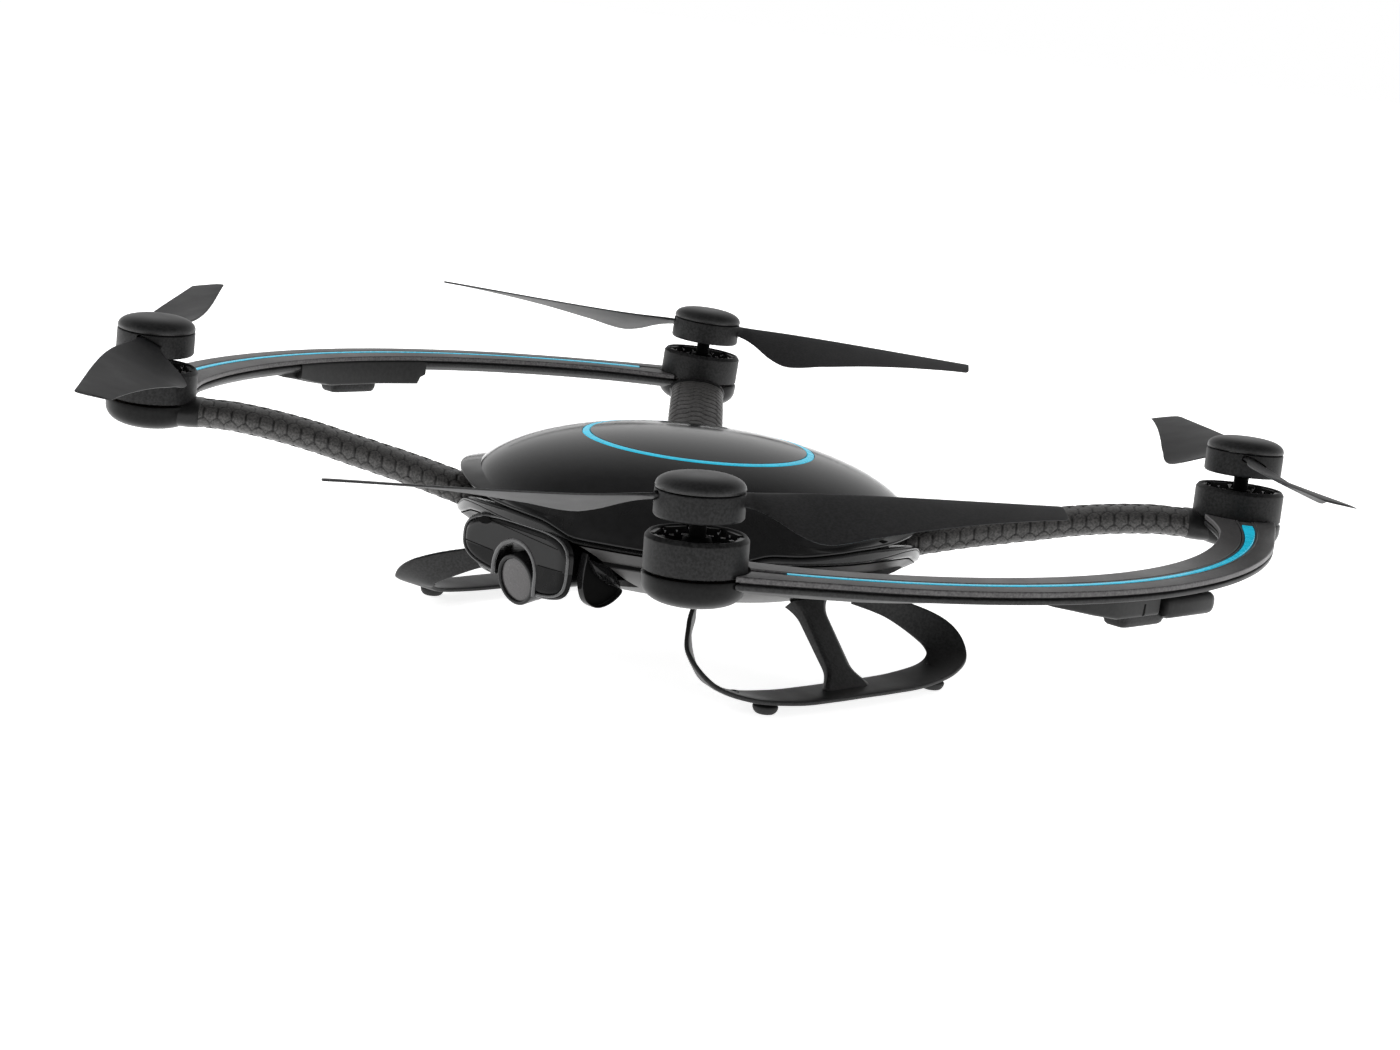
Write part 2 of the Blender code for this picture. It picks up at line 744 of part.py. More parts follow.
def cap_profile():
    low = HUB_TOP + GAP
    profile = [(0.0, low), (HUB_RADIUS, low)]
    for angle in (18.0, 38.0, 58.0, 76.0):
        turn = math.radians(angle)
        profile.append((HUB_RADIUS * math.cos(turn) ** 0.62, low + CAP_HEIGHT * math.sin(turn) ** 0.8))
    return profile + [(0.0, low + CAP_HEIGHT)]


def slot_hub(hub, parent):
    """Cut the two windows that the blade roots leave through."""
    low = (-HUB_RADIUS - 3.0, -4.6, HUB_BOTTOM + 2.4)
    high = (HUB_RADIUS + 3.0, 4.6, HUB_TOP + 1.0)
    cutter = add_cutter("window_" + hub.name, box_mesh(low, high, "window"), parent)
    combine(hub, cutter, "DIFFERENCE")


def blade_section(signed_radius, spin):
    """Section of the two-blade bar; its twist changes sign across the centre."""
    radius = abs(signed_radius)
    lead, chord, pitch, thickness = read_line(BLADE_STATIONS, radius)
    turn = math.radians(pitch)
    way = math.copysign(1.0, signed_radius) * spin
    ring = []
    for share, up in ((0.5, 0.0), (0.3, 0.5), (0.0, 0.62), (-0.5, 0.1), (-0.5, -0.1), (0.0, -0.3), (0.3, -0.42)):
        behind = (share - 0.5) * chord
        rise = up * thickness
        across = lead + behind * math.cos(turn) - rise * math.sin(turn)
        height = LEAD_HEIGHT + behind * math.sin(turn) + rise * math.cos(turn)
        ring.append((signed_radius, way * across, height))
    if way < 0:
        ring = [ring[index] for index in (3, 2, 1, 0, 6, 5, 4)]
    return ring


def propeller_mesh(spin):
    """Both blades in one piece, from tip to tip along X."""
    radii = [12.5, 18.0, 22.0, 27.0, 33.0, 42.0, 54.0, 68.0, 84.0, 98.0, BLADE_TIP]
    blade = [blade_section(radius, spin) for radius in radii]
    other = [blade_section(-radius, spin) for radius in reversed(radii)]
    return loft(other + blade, "propeller")


def build_motor(corner, shapes):
    """Fixed cup and stator, and the rotor that turns about the motor's axis."""
    side, end = CORNERS[corner]
    turn = math.radians(MOTOR_AZIMUTH)
    arm = Vector((side * math.cos(turn), end * math.sin(turn), 0.0))
    place = arm * WHEELBASE / 2
    place.z = MOTOR_PLANE
    spin = -side * end
    lean = Quaternion(arm, math.radians(MOTOR_CANT * spin))
    for kind in ("motor_cup", "stator"):
        fixed = add_object(kind + "_" + corner, shapes[kind], shapes["finish"][kind])
        fixed.location = place * MM
        fixed.rotation_euler = lean.to_euler()
    axis = bpy.data.objects.new("rotor_axis_" + corner, None)
    bpy.context.collection.objects.link(axis)
    axis.location = place * MM
    rest = Quaternion((0.0, 0.0, 1.0), math.radians(REST_TURN[corner]))
    axis.rotation_euler = (lean @ rest).to_euler()
    for kind in ("motor_bell", "motor_shaft", "hub_cap"):
        add_object(kind + "_" + corner, shapes[kind], shapes["finish"][kind], parent=axis)
    hub = add_object("propeller_hub_" + corner, shapes["propeller_hub"], "satin_black", parent=axis)
    slot_hub(hub, axis)
    add_object("propeller_" + corner, shapes["propeller"][spin], "blade_black", parent=axis)


def build_motors():
    shapes = {
        "motor_cup": turned(cup_profile(), 18, "motor_cup"),
        "stator": turned(stator_profile(), 16, "stator", closed=True),
        "motor_bell": turned(bell_profile(), 20, "motor_bell", closed=True),
        "motor_shaft": turned(shaft_profile(), 10, "motor_shaft"),
        "propeller_hub": turned(hub_profile(), 20, "propeller_hub", closed=True),
        "hub_cap": turned(cap_profile(), 20, "hub_cap"),
        "propeller": {spin: propeller_mesh(spin) for spin in (1, -1)},
        "finish": {
            "motor_cup": "gloss_black",
            "stator": "copper",
            "motor_bell": "satin_black",
            "motor_shaft": "steel",
            "hub_cap": "satin_black",
        },
    }
    for corner in CORNERS:
        build_motor(corner, shapes)


# ---------------------------------------------------------------- camera

def nose_outline():
    """Front view of the camera housing: a rounded bar with an arch cut up from below."""
    middle = (NOSE_TOP + NOSE_BOTTOM) / 2
    outline = superellipse(NOSE_HALF_WIDTH, (NOSE_TOP - NOSE_BOTTOM) / 2, 3.2, 28)
    return [(x, middle + z) for x, z in outline]


def build_camera_housing():
    outline = nose_outline()
    rings = [[(x, y, z) for x, z in outline] for y in (NOSE_FRONT, NOSE_BACK)]
    housing = add_object("camera_housing", loft(rings, "camera_housing"), "gloss_black")
    arch = [(ARCH_HALF_WIDTH, NOSE_BOTTOM - 3.0)]
    for angle in range(0, 181, 20):
        turn = math.radians(angle)
        spring = ARCH_TOP - ARCH_HALF_WIDTH
        arch.append((ARCH_HALF_WIDTH * math.cos(turn), spring + ARCH_HALF_WIDTH * math.sin(turn)))
    arch.append((-ARCH_HALF_WIDTH, NOSE_BOTTOM - 3.0))
    back = CAMERA_AXIS[1] + ARCH_HALF_WIDTH
    tunnel = [[(x, y, z) for x, z in arch] for y in (NOSE_FRONT - 3.0, back)]
    combine(housing, add_cutter("arch_cut", loft(tunnel, "arch_cut")), "DIFFERENCE")


def lathe_forward(profile, segments, name):
    """Turn a profile of (radius, distance in front of the tilt axis) round the view line."""
    mesh = turned(profile, segments, name)
    mesh.transform(Matrix.Rotation(math.radians(90.0 + CAMERA_TILT), 4, "X"))
    return mesh


def build_camera():
    """Barrel and lens on a tilt axis, with the pin they hang on."""
    axis = bpy.data.objects.new("camera_tilt_axis", None)
    bpy.context.collection.objects.link(axis)
    axis.location = Vector(CAMERA_AXIS) * MM
    window = CAMERA_RADIUS - 1.3
    recess = CAMERA_LENGTH - 1.6
    profile = [(0.0, -CAMERA_RADIUS)]
    for angle in (-68.0, -45.0, -22.0, 0.0):
        turn = math.radians(angle)
        profile.append((CAMERA_RADIUS * math.cos(turn), CAMERA_RADIUS * math.sin(turn)))
    profile += [(CAMERA_RADIUS, CAMERA_LENGTH - 0.6), (CAMERA_RADIUS - 0.5, CAMERA_LENGTH)]
    profile += [(window, CAMERA_LENGTH), (window, recess), (0.0, recess)]
    barrel = add_object("camera_barrel", lathe_forward(profile, 24, "camera_barrel"), "gloss_black", parent=axis)
    side_on = Matrix.Rotation(math.radians(90.0), 4, "Y")
    reach = ARCH_HALF_WIDTH - GAP
    bore_profile = [(0.0, -reach), (PIN_RADIUS + GAP, -reach), (PIN_RADIUS + GAP, reach), (0.0, reach)]
    bore = turned(bore_profile, 12, "pin_bore")
    bore.transform(side_on)
    combine(barrel, add_cutter("pin_bore", bore, axis), "DIFFERENCE")
    lens_front = CAMERA_LENGTH - 0.5
    edge = window - GAP
    lens = [(0.0, recess + GAP), (edge, recess + GAP), (edge, lens_front - 0.3), (0.0, lens_front)]
    add_object("camera_lens", lathe_forward(lens, 24, "camera_lens"), "lens_grey", parent=axis)
    pin_profile = [(0.0, -reach), (PIN_RADIUS, -reach), (PIN_RADIUS, reach), (0.0, reach)]
    pin = turned(pin_profile, 12, "camera_pin")
    pin.transform(side_on)
    fixed = add_object("camera_pin", pin, "steel")
    fixed.location = Vector(CAMERA_AXIS) * MM


def build_cheek(side_name):
    """Upright fin between the camera housing and the side of the nose pocket."""
    side = SIDES[side_name]
    outline = [
        (-68.0, 14.4), (-69.0, 5.4), (-66.5, -0.8), (-61.0, -2.8),
        (-54.5, -0.6), (-51.5, 2.4), (-60.0, 7.6),
    ]
    inner = NOSE_HALF_WIDTH + 0.4
    rings = [[(side * x, y, z) for y, z in outline] for x in (inner, inner + 2.0)]
    name = "camera_cheek_" + side_name
    add_object(name, loft(rings, name), "gloss_black")


# ---------------------------------------------------------------- landing legs

def leg_rows():
    """Stations of a whole leg, rear end to front end, with smooth steps between them."""
    front = [(x, -y, z, width, twist) for x, y, z, width, twist in reversed(LEG_STATIONS[:-1])]
    stations = LEG_STATIONS + front
    rows = []
    for index in range(len(stations) - 1):
        for step in range(LEG_STEPS):
            rows.append(catmull(stations, index, step / LEG_STEPS))
    rows.append(list(stations[-1]))
    return rows


def leg_ring(rows, index):
    """Flat section square to the ribbon, turned by the twist about its path."""
    x, y, z, width, twist = rows[index]
    before = Vector(rows[max(index - 1, 0)][:3])
    after = Vector(rows[min(index + 1, len(rows) - 1)][:3])
    along = (after - before).normalized()
    level = along.cross(Vector((0.0, 0.0, 1.0))).normalized()
    upright = level.cross(along).normalized()
    turn = math.radians(twist)
    wide = level * math.cos(turn) + upright * math.sin(turn)
    thick = along.cross(wide).normalized()
    half_width = width / 2
    half_thick = LEG_THICKNESS / 2
    centre = Vector((x, y, z))
    corners = (
        (1.0, 0.35), (0.9, 1.0), (-0.9, 1.0), (-1.0, 0.35),
        (-1.0, -0.35), (-0.9, -1.0), (0.9, -1.0), (1.0, -0.35),
    )
    return [centre + wide * half_width * across + thick * half_thick * up for across, up in corners]


def strut_rings():
    """Central strut from the belly down to the strip, flared at its foot."""
    along = STRUT_FOOT - STRUT_TOP
    normal = Vector((-along.z, 0.0, along.x)).normalized()
    rings = []
    for share in (-0.05, 0.15, 0.45, 0.75, 0.9, 1.0):
        centre = STRUT_TOP.lerp(STRUT_FOOT, share)
        half_width = 5.6 + 5.0 * smooth((share - 0.6) / 0.4)
        half_thick = 2.2 - 0.9 * share
        across = Vector((0.0, 1.0, 0.0))
        outline = superellipse(half_width, half_thick, 4.0, 12)
        rings.append([centre + across * wide + normal * up for wide, up in outline])
    return rings


def build_leg(side_name):
    side = SIDES[side_name]
    rows = leg_rows()
    ribbon = [[(side * p.x, p.y, p.z) for p in leg_ring(rows, index)] for index in range(len(rows))]
    strut = [[(side * p.x, p.y, p.z) for p in ring] for ring in strut_rings()]
    leg = add_object("leg_" + side_name, loft(ribbon, "leg_" + side_name), "satin_black")
    brace = add_cutter("strut_" + side_name, loft(strut, "strut_" + side_name))
    combine(leg, brace, "UNION")


def build_foot(corner):
    """Rubber button under the strip."""
    side, end = CORNERS[corner]
    top = LEG_STATIONS[-1][2] - LEG_THICKNESS / 2 - GAP
    profile = [(0.0, FOOT_BOTTOM), (FOOT_RADIUS - 1.4, FOOT_BOTTOM), (FOOT_RADIUS - 0.3, FOOT_BOTTOM + 0.8)]
    profile += [(FOOT_RADIUS, top), (0.0, top)]
    foot = add_object("foot_" + corner, turned(profile, 14, "foot"), "rubber")
    foot.location = Vector((side * FOOT_PLACE[0], end * FOOT_PLACE[1], 0.0)) * MM


# ---------------------------------------------------------------- assembly

def build():
    clear_scene()
    build_top_shell()
    build_status_ring()
    build_lower_body()
    build_inner_parts()
    for corner in CORNERS:
        build_arm(corner)
        build_foot(corner)
    for side_name in SIDES:
        build_bow(side_name)
        build_bow_light(side_name)
        build_side_pod(side_name)
        build_antenna(side_name)
        build_cheek(side_name)
        build_leg(side_name)
    build_motors()
    build_camera_housing()
    build_camera()


build()
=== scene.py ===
"""Looks of the quadcopter drone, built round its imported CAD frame.

Shapes are written in millimetres in the frame's own axes: the front is -Y, the drone's
left is +X and up is +Z. add_piece scales them to metres. Every piece rides on a body of
the frame, so the rotors and the camera carry their details along.
"""
import math

import bmesh
import bpy
import numpy as np
from mathutils import Matrix, Quaternion, Vector


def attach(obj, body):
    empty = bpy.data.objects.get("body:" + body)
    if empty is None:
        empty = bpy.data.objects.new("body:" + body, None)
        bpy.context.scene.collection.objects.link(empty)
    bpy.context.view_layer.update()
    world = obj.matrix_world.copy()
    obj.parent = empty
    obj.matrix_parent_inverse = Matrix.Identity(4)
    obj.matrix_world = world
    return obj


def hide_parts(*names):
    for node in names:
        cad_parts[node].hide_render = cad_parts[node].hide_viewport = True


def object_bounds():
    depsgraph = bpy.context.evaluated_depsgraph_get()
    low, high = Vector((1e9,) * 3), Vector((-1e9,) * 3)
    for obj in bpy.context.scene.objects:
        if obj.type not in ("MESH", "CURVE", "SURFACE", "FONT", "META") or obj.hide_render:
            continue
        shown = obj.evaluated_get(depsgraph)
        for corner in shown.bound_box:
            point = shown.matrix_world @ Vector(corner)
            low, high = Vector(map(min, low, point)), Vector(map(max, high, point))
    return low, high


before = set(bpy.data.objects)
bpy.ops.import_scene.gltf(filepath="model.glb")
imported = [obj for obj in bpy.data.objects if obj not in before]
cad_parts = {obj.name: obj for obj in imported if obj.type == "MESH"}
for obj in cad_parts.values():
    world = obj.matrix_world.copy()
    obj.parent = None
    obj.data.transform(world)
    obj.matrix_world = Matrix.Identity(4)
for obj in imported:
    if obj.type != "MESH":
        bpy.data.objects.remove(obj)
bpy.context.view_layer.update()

MM = 0.001
CORNERS = {
    "front_left": (1, -1),
    "rear_left": (1, 1),
    "front_right": (-1, -1),
    "rear_right": (-1, 1),
}
SIDES = {"left": 1, "right": -1}

# Motors
WHEELBASE = 350.0
MOTOR_AZIMUTH = math.radians(45.36)
MOTOR_PLANE = 36.5
MOTOR_CANT = math.radians(2.5)
REST_TURN = {"front_left": 53.0, "rear_left": 140.0, "front_right": 133.5, "rear_right": 42.5}
BELL_RADIUS = 14.1
BELL_HEIGHT = 10.1
CUP_RADIUS = 14.4
CUP_DEPTH = 9.2
SHAFT_RADIUS = 2.35
HUB_RADIUS = 12.3
HUB_BOTTOM = 14.5
HUB_TOP = 21.9
CAP_HEIGHT = 4.1

# Body
DOME_RADIUS = 72.0
DOME_HEIGHT = 24.0
DOME_BASE = 20.9
LIP_RADIUS = 75.0
BELLY_RADIUS = 46.0
BELLY_SLOPE = 9.5
RING_RADIUS = 36.2
RING_WIDTH = 2.2


# ---------------------------------------------------------------- mesh helpers

def make_mesh(name, points, faces, sharp=38.0):
    """Mesh in metres from points in millimetres, smooth apart from its sharp edges."""
    mesh = bpy.data.meshes.new(name)
    mesh.from_pydata([tuple(point) for point in points], [], [tuple(face) for face in faces])
    shape = bmesh.new()
    shape.from_mesh(mesh)
    bmesh.ops.recalc_face_normals(shape, faces=shape.faces)
    shape.to_mesh(mesh)
    shape.free()
    mesh.transform(Matrix.Scale(MM, 4))
    mesh.shade_smooth()
    mesh.set_sharp_from_angle(angle=math.radians(sharp))
    return mesh


def add_piece(name, mesh, finish, stands_for=(), place=None, body="frame"):
    """One visible piece, riding on a body and standing for CAD nodes if any are named."""
    piece = bpy.data.objects.new(name, mesh)
    bpy.context.collection.objects.link(piece)
    if place is not None:
        mesh.transform(place)
    mesh.materials.append(finish)
    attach(piece, body)
    if stands_for:
        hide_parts(*stands_for)
    return piece


def ring_faces(rows, count, closed_rows=False):
    """Quads between consecutive closed rings of points."""
    faces = []
    for row in range(rows if closed_rows else rows - 1):
        above = (row + 1) % rows
        for column in range(count):
            beside = (column + 1) % count
            low = row * count
            high = above * count
            faces.append((low + column, low + beside, high + beside, high + column))
    return faces


def tube_mesh(name, rings, sharp=38.0):
    """Closed solid through rings of equal length, with a fan over each end."""
    rings = np.asarray(rings, dtype=float)
    rows, count, _ = rings.shape
    points = list(rings.reshape(-1, 3))
    faces = ring_faces(rows, count)
    for row in (0, rows - 1):
        middle = len(points)
        points.append(rings[row].mean(axis=0))
        faces += [(row * count + index, row * count + (index + 1) % count, middle) for index in range(count)]
    return make_mesh(name, points, faces, sharp)


def varied_turn(name, profile_at, segments, sharp=38.0, closed=False):
    """Profile of (radius, height), given for each azimuth in radians, turned round Z.

    A row whose radius is zero becomes one point.
    """
    azimuths = [2 * math.pi * index / segments for index in range(segments)]
    profiles = [profile_at(azimuth) for azimuth in azimuths]
    points = []
    rows = []
    for row, (radius, height) in enumerate(profiles[0]):
        if radius <= 1e-6:
            rows.append([len(points)] * segments)
            points.append((0.0, 0.0, height))
            continue
        rows.append(list(range(len(points), len(points) + segments)))
        for profile, azimuth in zip(profiles, azimuths):
            radius, height = profile[row]
            points.append((radius * math.cos(azimuth), radius * math.sin(azimuth), height))
    faces = []
    for low, high in zip(rows, rows[1:] + rows[:1] if closed else rows[1:]):
        for index in range(segments):
            beside = (index + 1) % segments
            face = tuple(dict.fromkeys((low[index], low[beside], high[beside], high[index])))
            if len(face) > 2:
                faces.append(face)
    return make_mesh(name, points, faces, sharp)


def turned_mesh(name, profile, segments=96, sharp=38.0, closed=False):
    """The same profile all the way round Z."""
    return varied_turn(name, lambda azimuth: profile, segments, sharp, closed)


def superellipse(half_width, half_height, power, count, start=0.0):
    """Closed outline between an ellipse (power 2) and a rectangle (a high power)."""
    angles = start + 2 * np.pi * np.arange(count) / count
    across = np.cos(angles)
    up = np.sin(angles)
    return np.stack([
        half_width * np.sign(across) * np.abs(across) ** (2 / power),
        half_height * np.sign(up) * np.abs(up) ** (2 / power),
    ], axis=1)


def smooth(value):
    """Ease from 0 to 1 while value goes from 0 to 1."""
    value = min(1.0, max(0.0, value))
    return value * value * (3.0 - 2.0 * value)


def rounded(corners, radius, steps=5):
    """Closed or open outline of 2D corners with each inner corner turned into an arc."""
    result = [corners[0]]
    for before, corner, after in zip(corners, corners[1:], corners[2:]):
        a = Vector(before) - Vector(corner)
        b = Vector(after) - Vector(corner)
        reach = min(radius, a.length * 0.48, b.length * 0.48)
        start = Vector(corner) + a.normalized() * reach
        end = Vector(corner) + b.normalized() * reach
        for step in range(steps + 1):
            share = step / steps
            first = start.lerp(Vector(corner), share)
            second = Vector(corner).lerp(end, share)
            result.append(tuple(first.lerp(second, share)))
    result.append(corners[-1])
    return result


def catmull(rows, index, share):
    """Point on the smooth curve between row index and the next one."""
    low = rows[max(index - 1, 0)]
    start = rows[index]
    end = rows[index + 1]
    high = rows[min(index + 2, len(rows) - 1)]
    square = share * share
    cube = square * share
    return [
        0.5 * (2 * b + (c - a) * share + (2 * a - 5 * b + 4 * c - d) * square
               + (3 * b - a - 3 * c + d) * cube)
        for a, b, c, d in zip(low, start, end, high)
    ]


def read_line(stations, where):
    """Values between stations, each a key followed by numbers, on a smooth curve."""
    keys = [station[0] for station in stations]
    index = 0
    while index < len(keys) - 2 and where > keys[index + 1]:
        index += 1
    share = (where - keys[index]) / (keys[index + 1] - keys[index])
    return catmull([station[1:] for station in stations], index, share)


def cut(piece, mesh):
    """Take a throwaway tool's shape away from a piece, applied at once."""
    tool = bpy.data.objects.new("tool", mesh)
    bpy.context.collection.objects.link(tool)
    change = piece.modifiers.new("cut", "BOOLEAN")
    change.operation = "DIFFERENCE"
    change.solver = "EXACT"
    change.object = tool
    settled = bpy.data.meshes.new_from_object(piece.evaluated_get(bpy.context.evaluated_depsgraph_get()))
    piece.modifiers.clear()
    old = piece.data
    piece.data = settled
    settled.name = old.name
    bpy.data.meshes.remove(old)
    bpy.data.objects.remove(tool)
    settled.shade_smooth()
    settled.set_sharp_from_angle(angle=math.radians(30.0))


# ---------------------------------------------------------------- materials

class Nodes:
    """Short way to add and join shader nodes in one material."""

    def __init__(self, name):
        self.material = bpy.data.materials.new(name)
        self.material.use_nodes = True
        self.tree = self.material.node_tree
        self.shader = self.tree.nodes["Principled BSDF"]
        self.where = self.add("ShaderNodeTexCoord").outputs["Object"]

    def add(self, kind, **values):
        node = self.tree.nodes.new(kind)
        for key, value in values.items():
            setattr(node, key, value)
        return node

    def join(self, source, target):
        self.tree.links.new(source, target)

    def noise(self, scale, detail=3.0, roughness=0.55):
        node = self.add("ShaderNodeTexNoise")
        node.inputs["Scale"].default_value = scale
        node.inputs["Detail"].default_value = detail
        node.inputs["Roughness"].default_value = roughness
        self.join(self.where, node.inputs["Vector"])
        return node.outputs["Fac"]

    def span(self, source, low, high, start=0.3, end=0.7):
        """Map source from start..end to low..high."""
        node = self.add("ShaderNodeMapRange")
        node.inputs["From Min"].default_value = start
        node.inputs["From Max"].default_value = end
        node.inputs["To Min"].default_value = low
        node.inputs["To Max"].default_value = high
        self.join(source, node.inputs["Value"])
        return node.outputs["Result"]

    def maths(self, operation, first, second):
        node = self.add("ShaderNodeMath", operation=operation)
        for socket, value in zip(node.inputs, (first, second)):
            if isinstance(value, (int, float)):
                socket.default_value = value
            else:
                self.join(value, socket)
        return node.outputs["Value"]

    def tint(self, factor, first, second):
        """Colour between two colours, the first of which may be another node's, by a factor."""
        node = self.add("ShaderNodeMix", data_type="RGBA")
        colour_in = [socket for socket in node.inputs if socket.type == "RGBA"]
        if isinstance(first, tuple):
            colour_in[0].default_value = (*first, 1.0)
        else:
            self.join(first, colour_in[0])
        colour_in[1].default_value = (*second, 1.0)
        self.join(factor, node.inputs["Factor"])
        return [socket for socket in node.outputs if socket.type == "RGBA"][0]

    def set(self, **values):
        """Uniform numbers and links for the shader's inputs, named with underscores for spaces."""
        for key, value in values.items():
            socket = self.shader.inputs[key.replace("_", " ")]
            if isinstance(value, (int, float, tuple)):
                socket.default_value = value
            else:
                self.join(value, socket)

    def bump(self, height, strength, distance):
        node = self.add("ShaderNodeBump")
        node.inputs["Strength"].default_value = strength
        node.inputs["Distance"].default_value = distance
        self.join(height, node.inputs["Height"])
        self.join(node.outputs["Normal"], self.shader.inputs["Normal"])

    def attribute(self, name):
        node = self.add("ShaderNodeAttribute", attribute_name=name)
        return node.outputs["Fac"]


def plastic(name, dark, light, rough, grain=900.0, bump=0.15, depth=0.00004, specular=0.5):
    """Moulded plastic: mottled colour, uneven gloss and a fine grain."""
    made = Nodes(name)
    broad = made.noise(55.0, 4.0)
    fine = made.noise(grain, 2.0, 0.6)
    colour = made.tint(made.span(fine, 0.0, 1.0, 0.35, 0.65), dark, light)
    mixed = made.maths("ADD", made.maths("MULTIPLY", broad, 0.6), made.maths("MULTIPLY", fine, 0.4))
    made.set(Base_Color=colour, Roughness=made.span(mixed, *rough, 0.35, 0.65), Specular_IOR_Level=specular)
    made.bump(fine, bump, depth)
    return made.material


def scale_skin(name):
    """Woven scale skin: dark seams from the mesh's own seam attribute, with a fine thread."""
    made = Nodes(name)
    seam = made.attribute("seam")
    thread = made.noise(1500.0, 2.0)
    broad = made.noise(120.0, 3.0)
    body = made.tint(made.span(thread, 0.0, 1.0, 0.35, 0.65), (0.036, 0.035, 0.035), (0.098, 0.095, 0.092))
    made.set(Base_Color=made.tint(seam, body, (0.0006, 0.0006, 0.0006)),
             Roughness=made.span(broad, 0.30, 0.46),
             Specular_IOR_Level=0.38)
    made.bump(thread, 0.2, 0.00005)
    return made.material


def glowing(name, colour, strength):
    """Light strip behind a glossy cover, a little uneven."""
    made = Nodes(name)
    cloud = made.noise(260.0, 2.0)
    bright = tuple(min(1.0, 1.25 * value) for value in colour)
    shade = made.tint(made.span(cloud, 0.0, 1.0), colour, bright)
    made.set(Base_Color=shade, Emission_Color=shade, Emission_Strength=strength,
             Roughness=made.span(cloud, 0.22, 0.34))
    return made.material


def metal(name, dark, light, rough):
    """Brushed metal with an uneven gloss."""
    made = Nodes(name)
    fine = made.noise(1400.0, 3.0)
    made.set(Base_Color=made.tint(made.span(fine, 0.0, 1.0), dark, light), Roughness=made.span(fine, *rough),
             Metallic=1.0)
    made.bump(fine, 0.1, 0.00003)
    return made.material


def lens_coating(name):
    """Grey coated disc with faint rings that darken towards its rim."""
    made = Nodes(name)
    ring = made.attribute("ring")
    grain = made.noise(1100.0, 2.0)
    factor = made.maths("ADD", made.maths("MULTIPLY", ring, 0.45), made.maths("MULTIPLY", grain, 0.15))
    made.set(Base_Color=made.tint(factor, (0.060, 0.056, 0.057), (0.022, 0.021, 0.021)),
             Roughness=made.span(grain, 0.18, 0.30), Coat_Weight=0.4, Coat_Roughness=0.05)
    return made.material


def grey(value, blue=None):
    """A neutral colour, or one whose blue differs a little."""
    return (value, value, value if blue is None else blue)


SEAM_HEIGHT = 8.3


def brow_finish_painted_shade():
    """Gloss black that is duller below the seam across the brow: the weaker reflection there is painted
    shade for the lower facet.
    """
    finish = plastic("brow_gloss_painted_shade", grey(0.0035, 0.0037), grey(0.0055, 0.0057), (0.12, 0.18), 300.0,
                     0.03, 0.00002)
    tree = finish.node_tree
    where = tree.nodes.new("ShaderNodeTexCoord")
    split = tree.nodes.new("ShaderNodeSeparateXYZ")
    share = tree.nodes.new("ShaderNodeMapRange")
    tree.links.new(where.outputs["Object"], split.inputs["Vector"])
    tree.links.new(split.outputs["Z"], share.inputs["Value"])
    spans = {
        "From Min": (SEAM_HEIGHT - 0.1) * MM,
        "From Max": (SEAM_HEIGHT + 0.1) * MM,
        "To Min": 0.11,
        "To Max": 0.28,
    }
    for socket, value in spans.items():
        share.inputs[socket].default_value = value
    # painted shade: less reflection below the seam, for the lower facet of the brow
    tree.links.new(share.outputs["Result"], tree.nodes["Principled BSDF"].inputs["Specular IOR Level"])
    return finish


# name, dark and light colour, roughness range, grain scale, bump, bump depth
GLOSS = plastic("gloss_shell", grey(0.0095, 0.0097), grey(0.0120, 0.0123), (0.10, 0.16), 300.0, 0.03,
                0.00002, specular=0.30)
SATIN = plastic("satin_shell", grey(0.0085), grey(0.0135), (0.28, 0.38), 700.0, 0.08, specular=0.28)
BOWL = plastic("bowl_plastic", grey(0.0035), grey(0.0070), (0.28, 0.38), 700.0, 0.08, specular=0.16)
GRAIN = plastic("grained_plastic", grey(0.0025), grey(0.018, 0.0185), (0.42, 0.54), 1300.0, 0.3, 0.00005,
                specular=0.26)
CAP = plastic("cap_plastic", grey(0.006), grey(0.020, 0.0205), (0.34, 0.44), 1300.0, 0.2, specular=0.50)
# painted reflection: the belly's warm tone, lighter than the black shell, stands in for the floor mirrored
# in it
BELLY_FLOOR_REFLECTION = plastic("belly_painted_floor_reflection", (0.020, 0.0190, 0.0184), (0.030, 0.0288, 0.0280), (0.30, 0.38), 900.0, 0.08,
                specular=0.55)
LEG = plastic("leg_plastic", grey(0.005), grey(0.022, 0.0225), (0.38, 0.50), 1300.0, 0.25, specular=0.38)
BLADE = plastic("blade_plastic", grey(0.008, 0.0085), grey(0.028, 0.029), (0.44, 0.56), 1300.0, 0.25,
                specular=0.36)
BOW_TOP_FINISH = plastic("bow_top_plastic", (0.048, 0.046, 0.047), (0.115, 0.111, 0.112), (0.34, 0.46),
                         1300.0, 0.3, 0.00005)
# painted highlight: the beads are coloured several times lighter than the brow, for the light along their
# bevels
BEAD_PAINTED_HIGHLIGHT = plastic("bead_painted_highlight", grey(0.030, 0.031), grey(0.050, 0.051), (0.16, 0.24), 900.0, 0.05, specular=0.9)
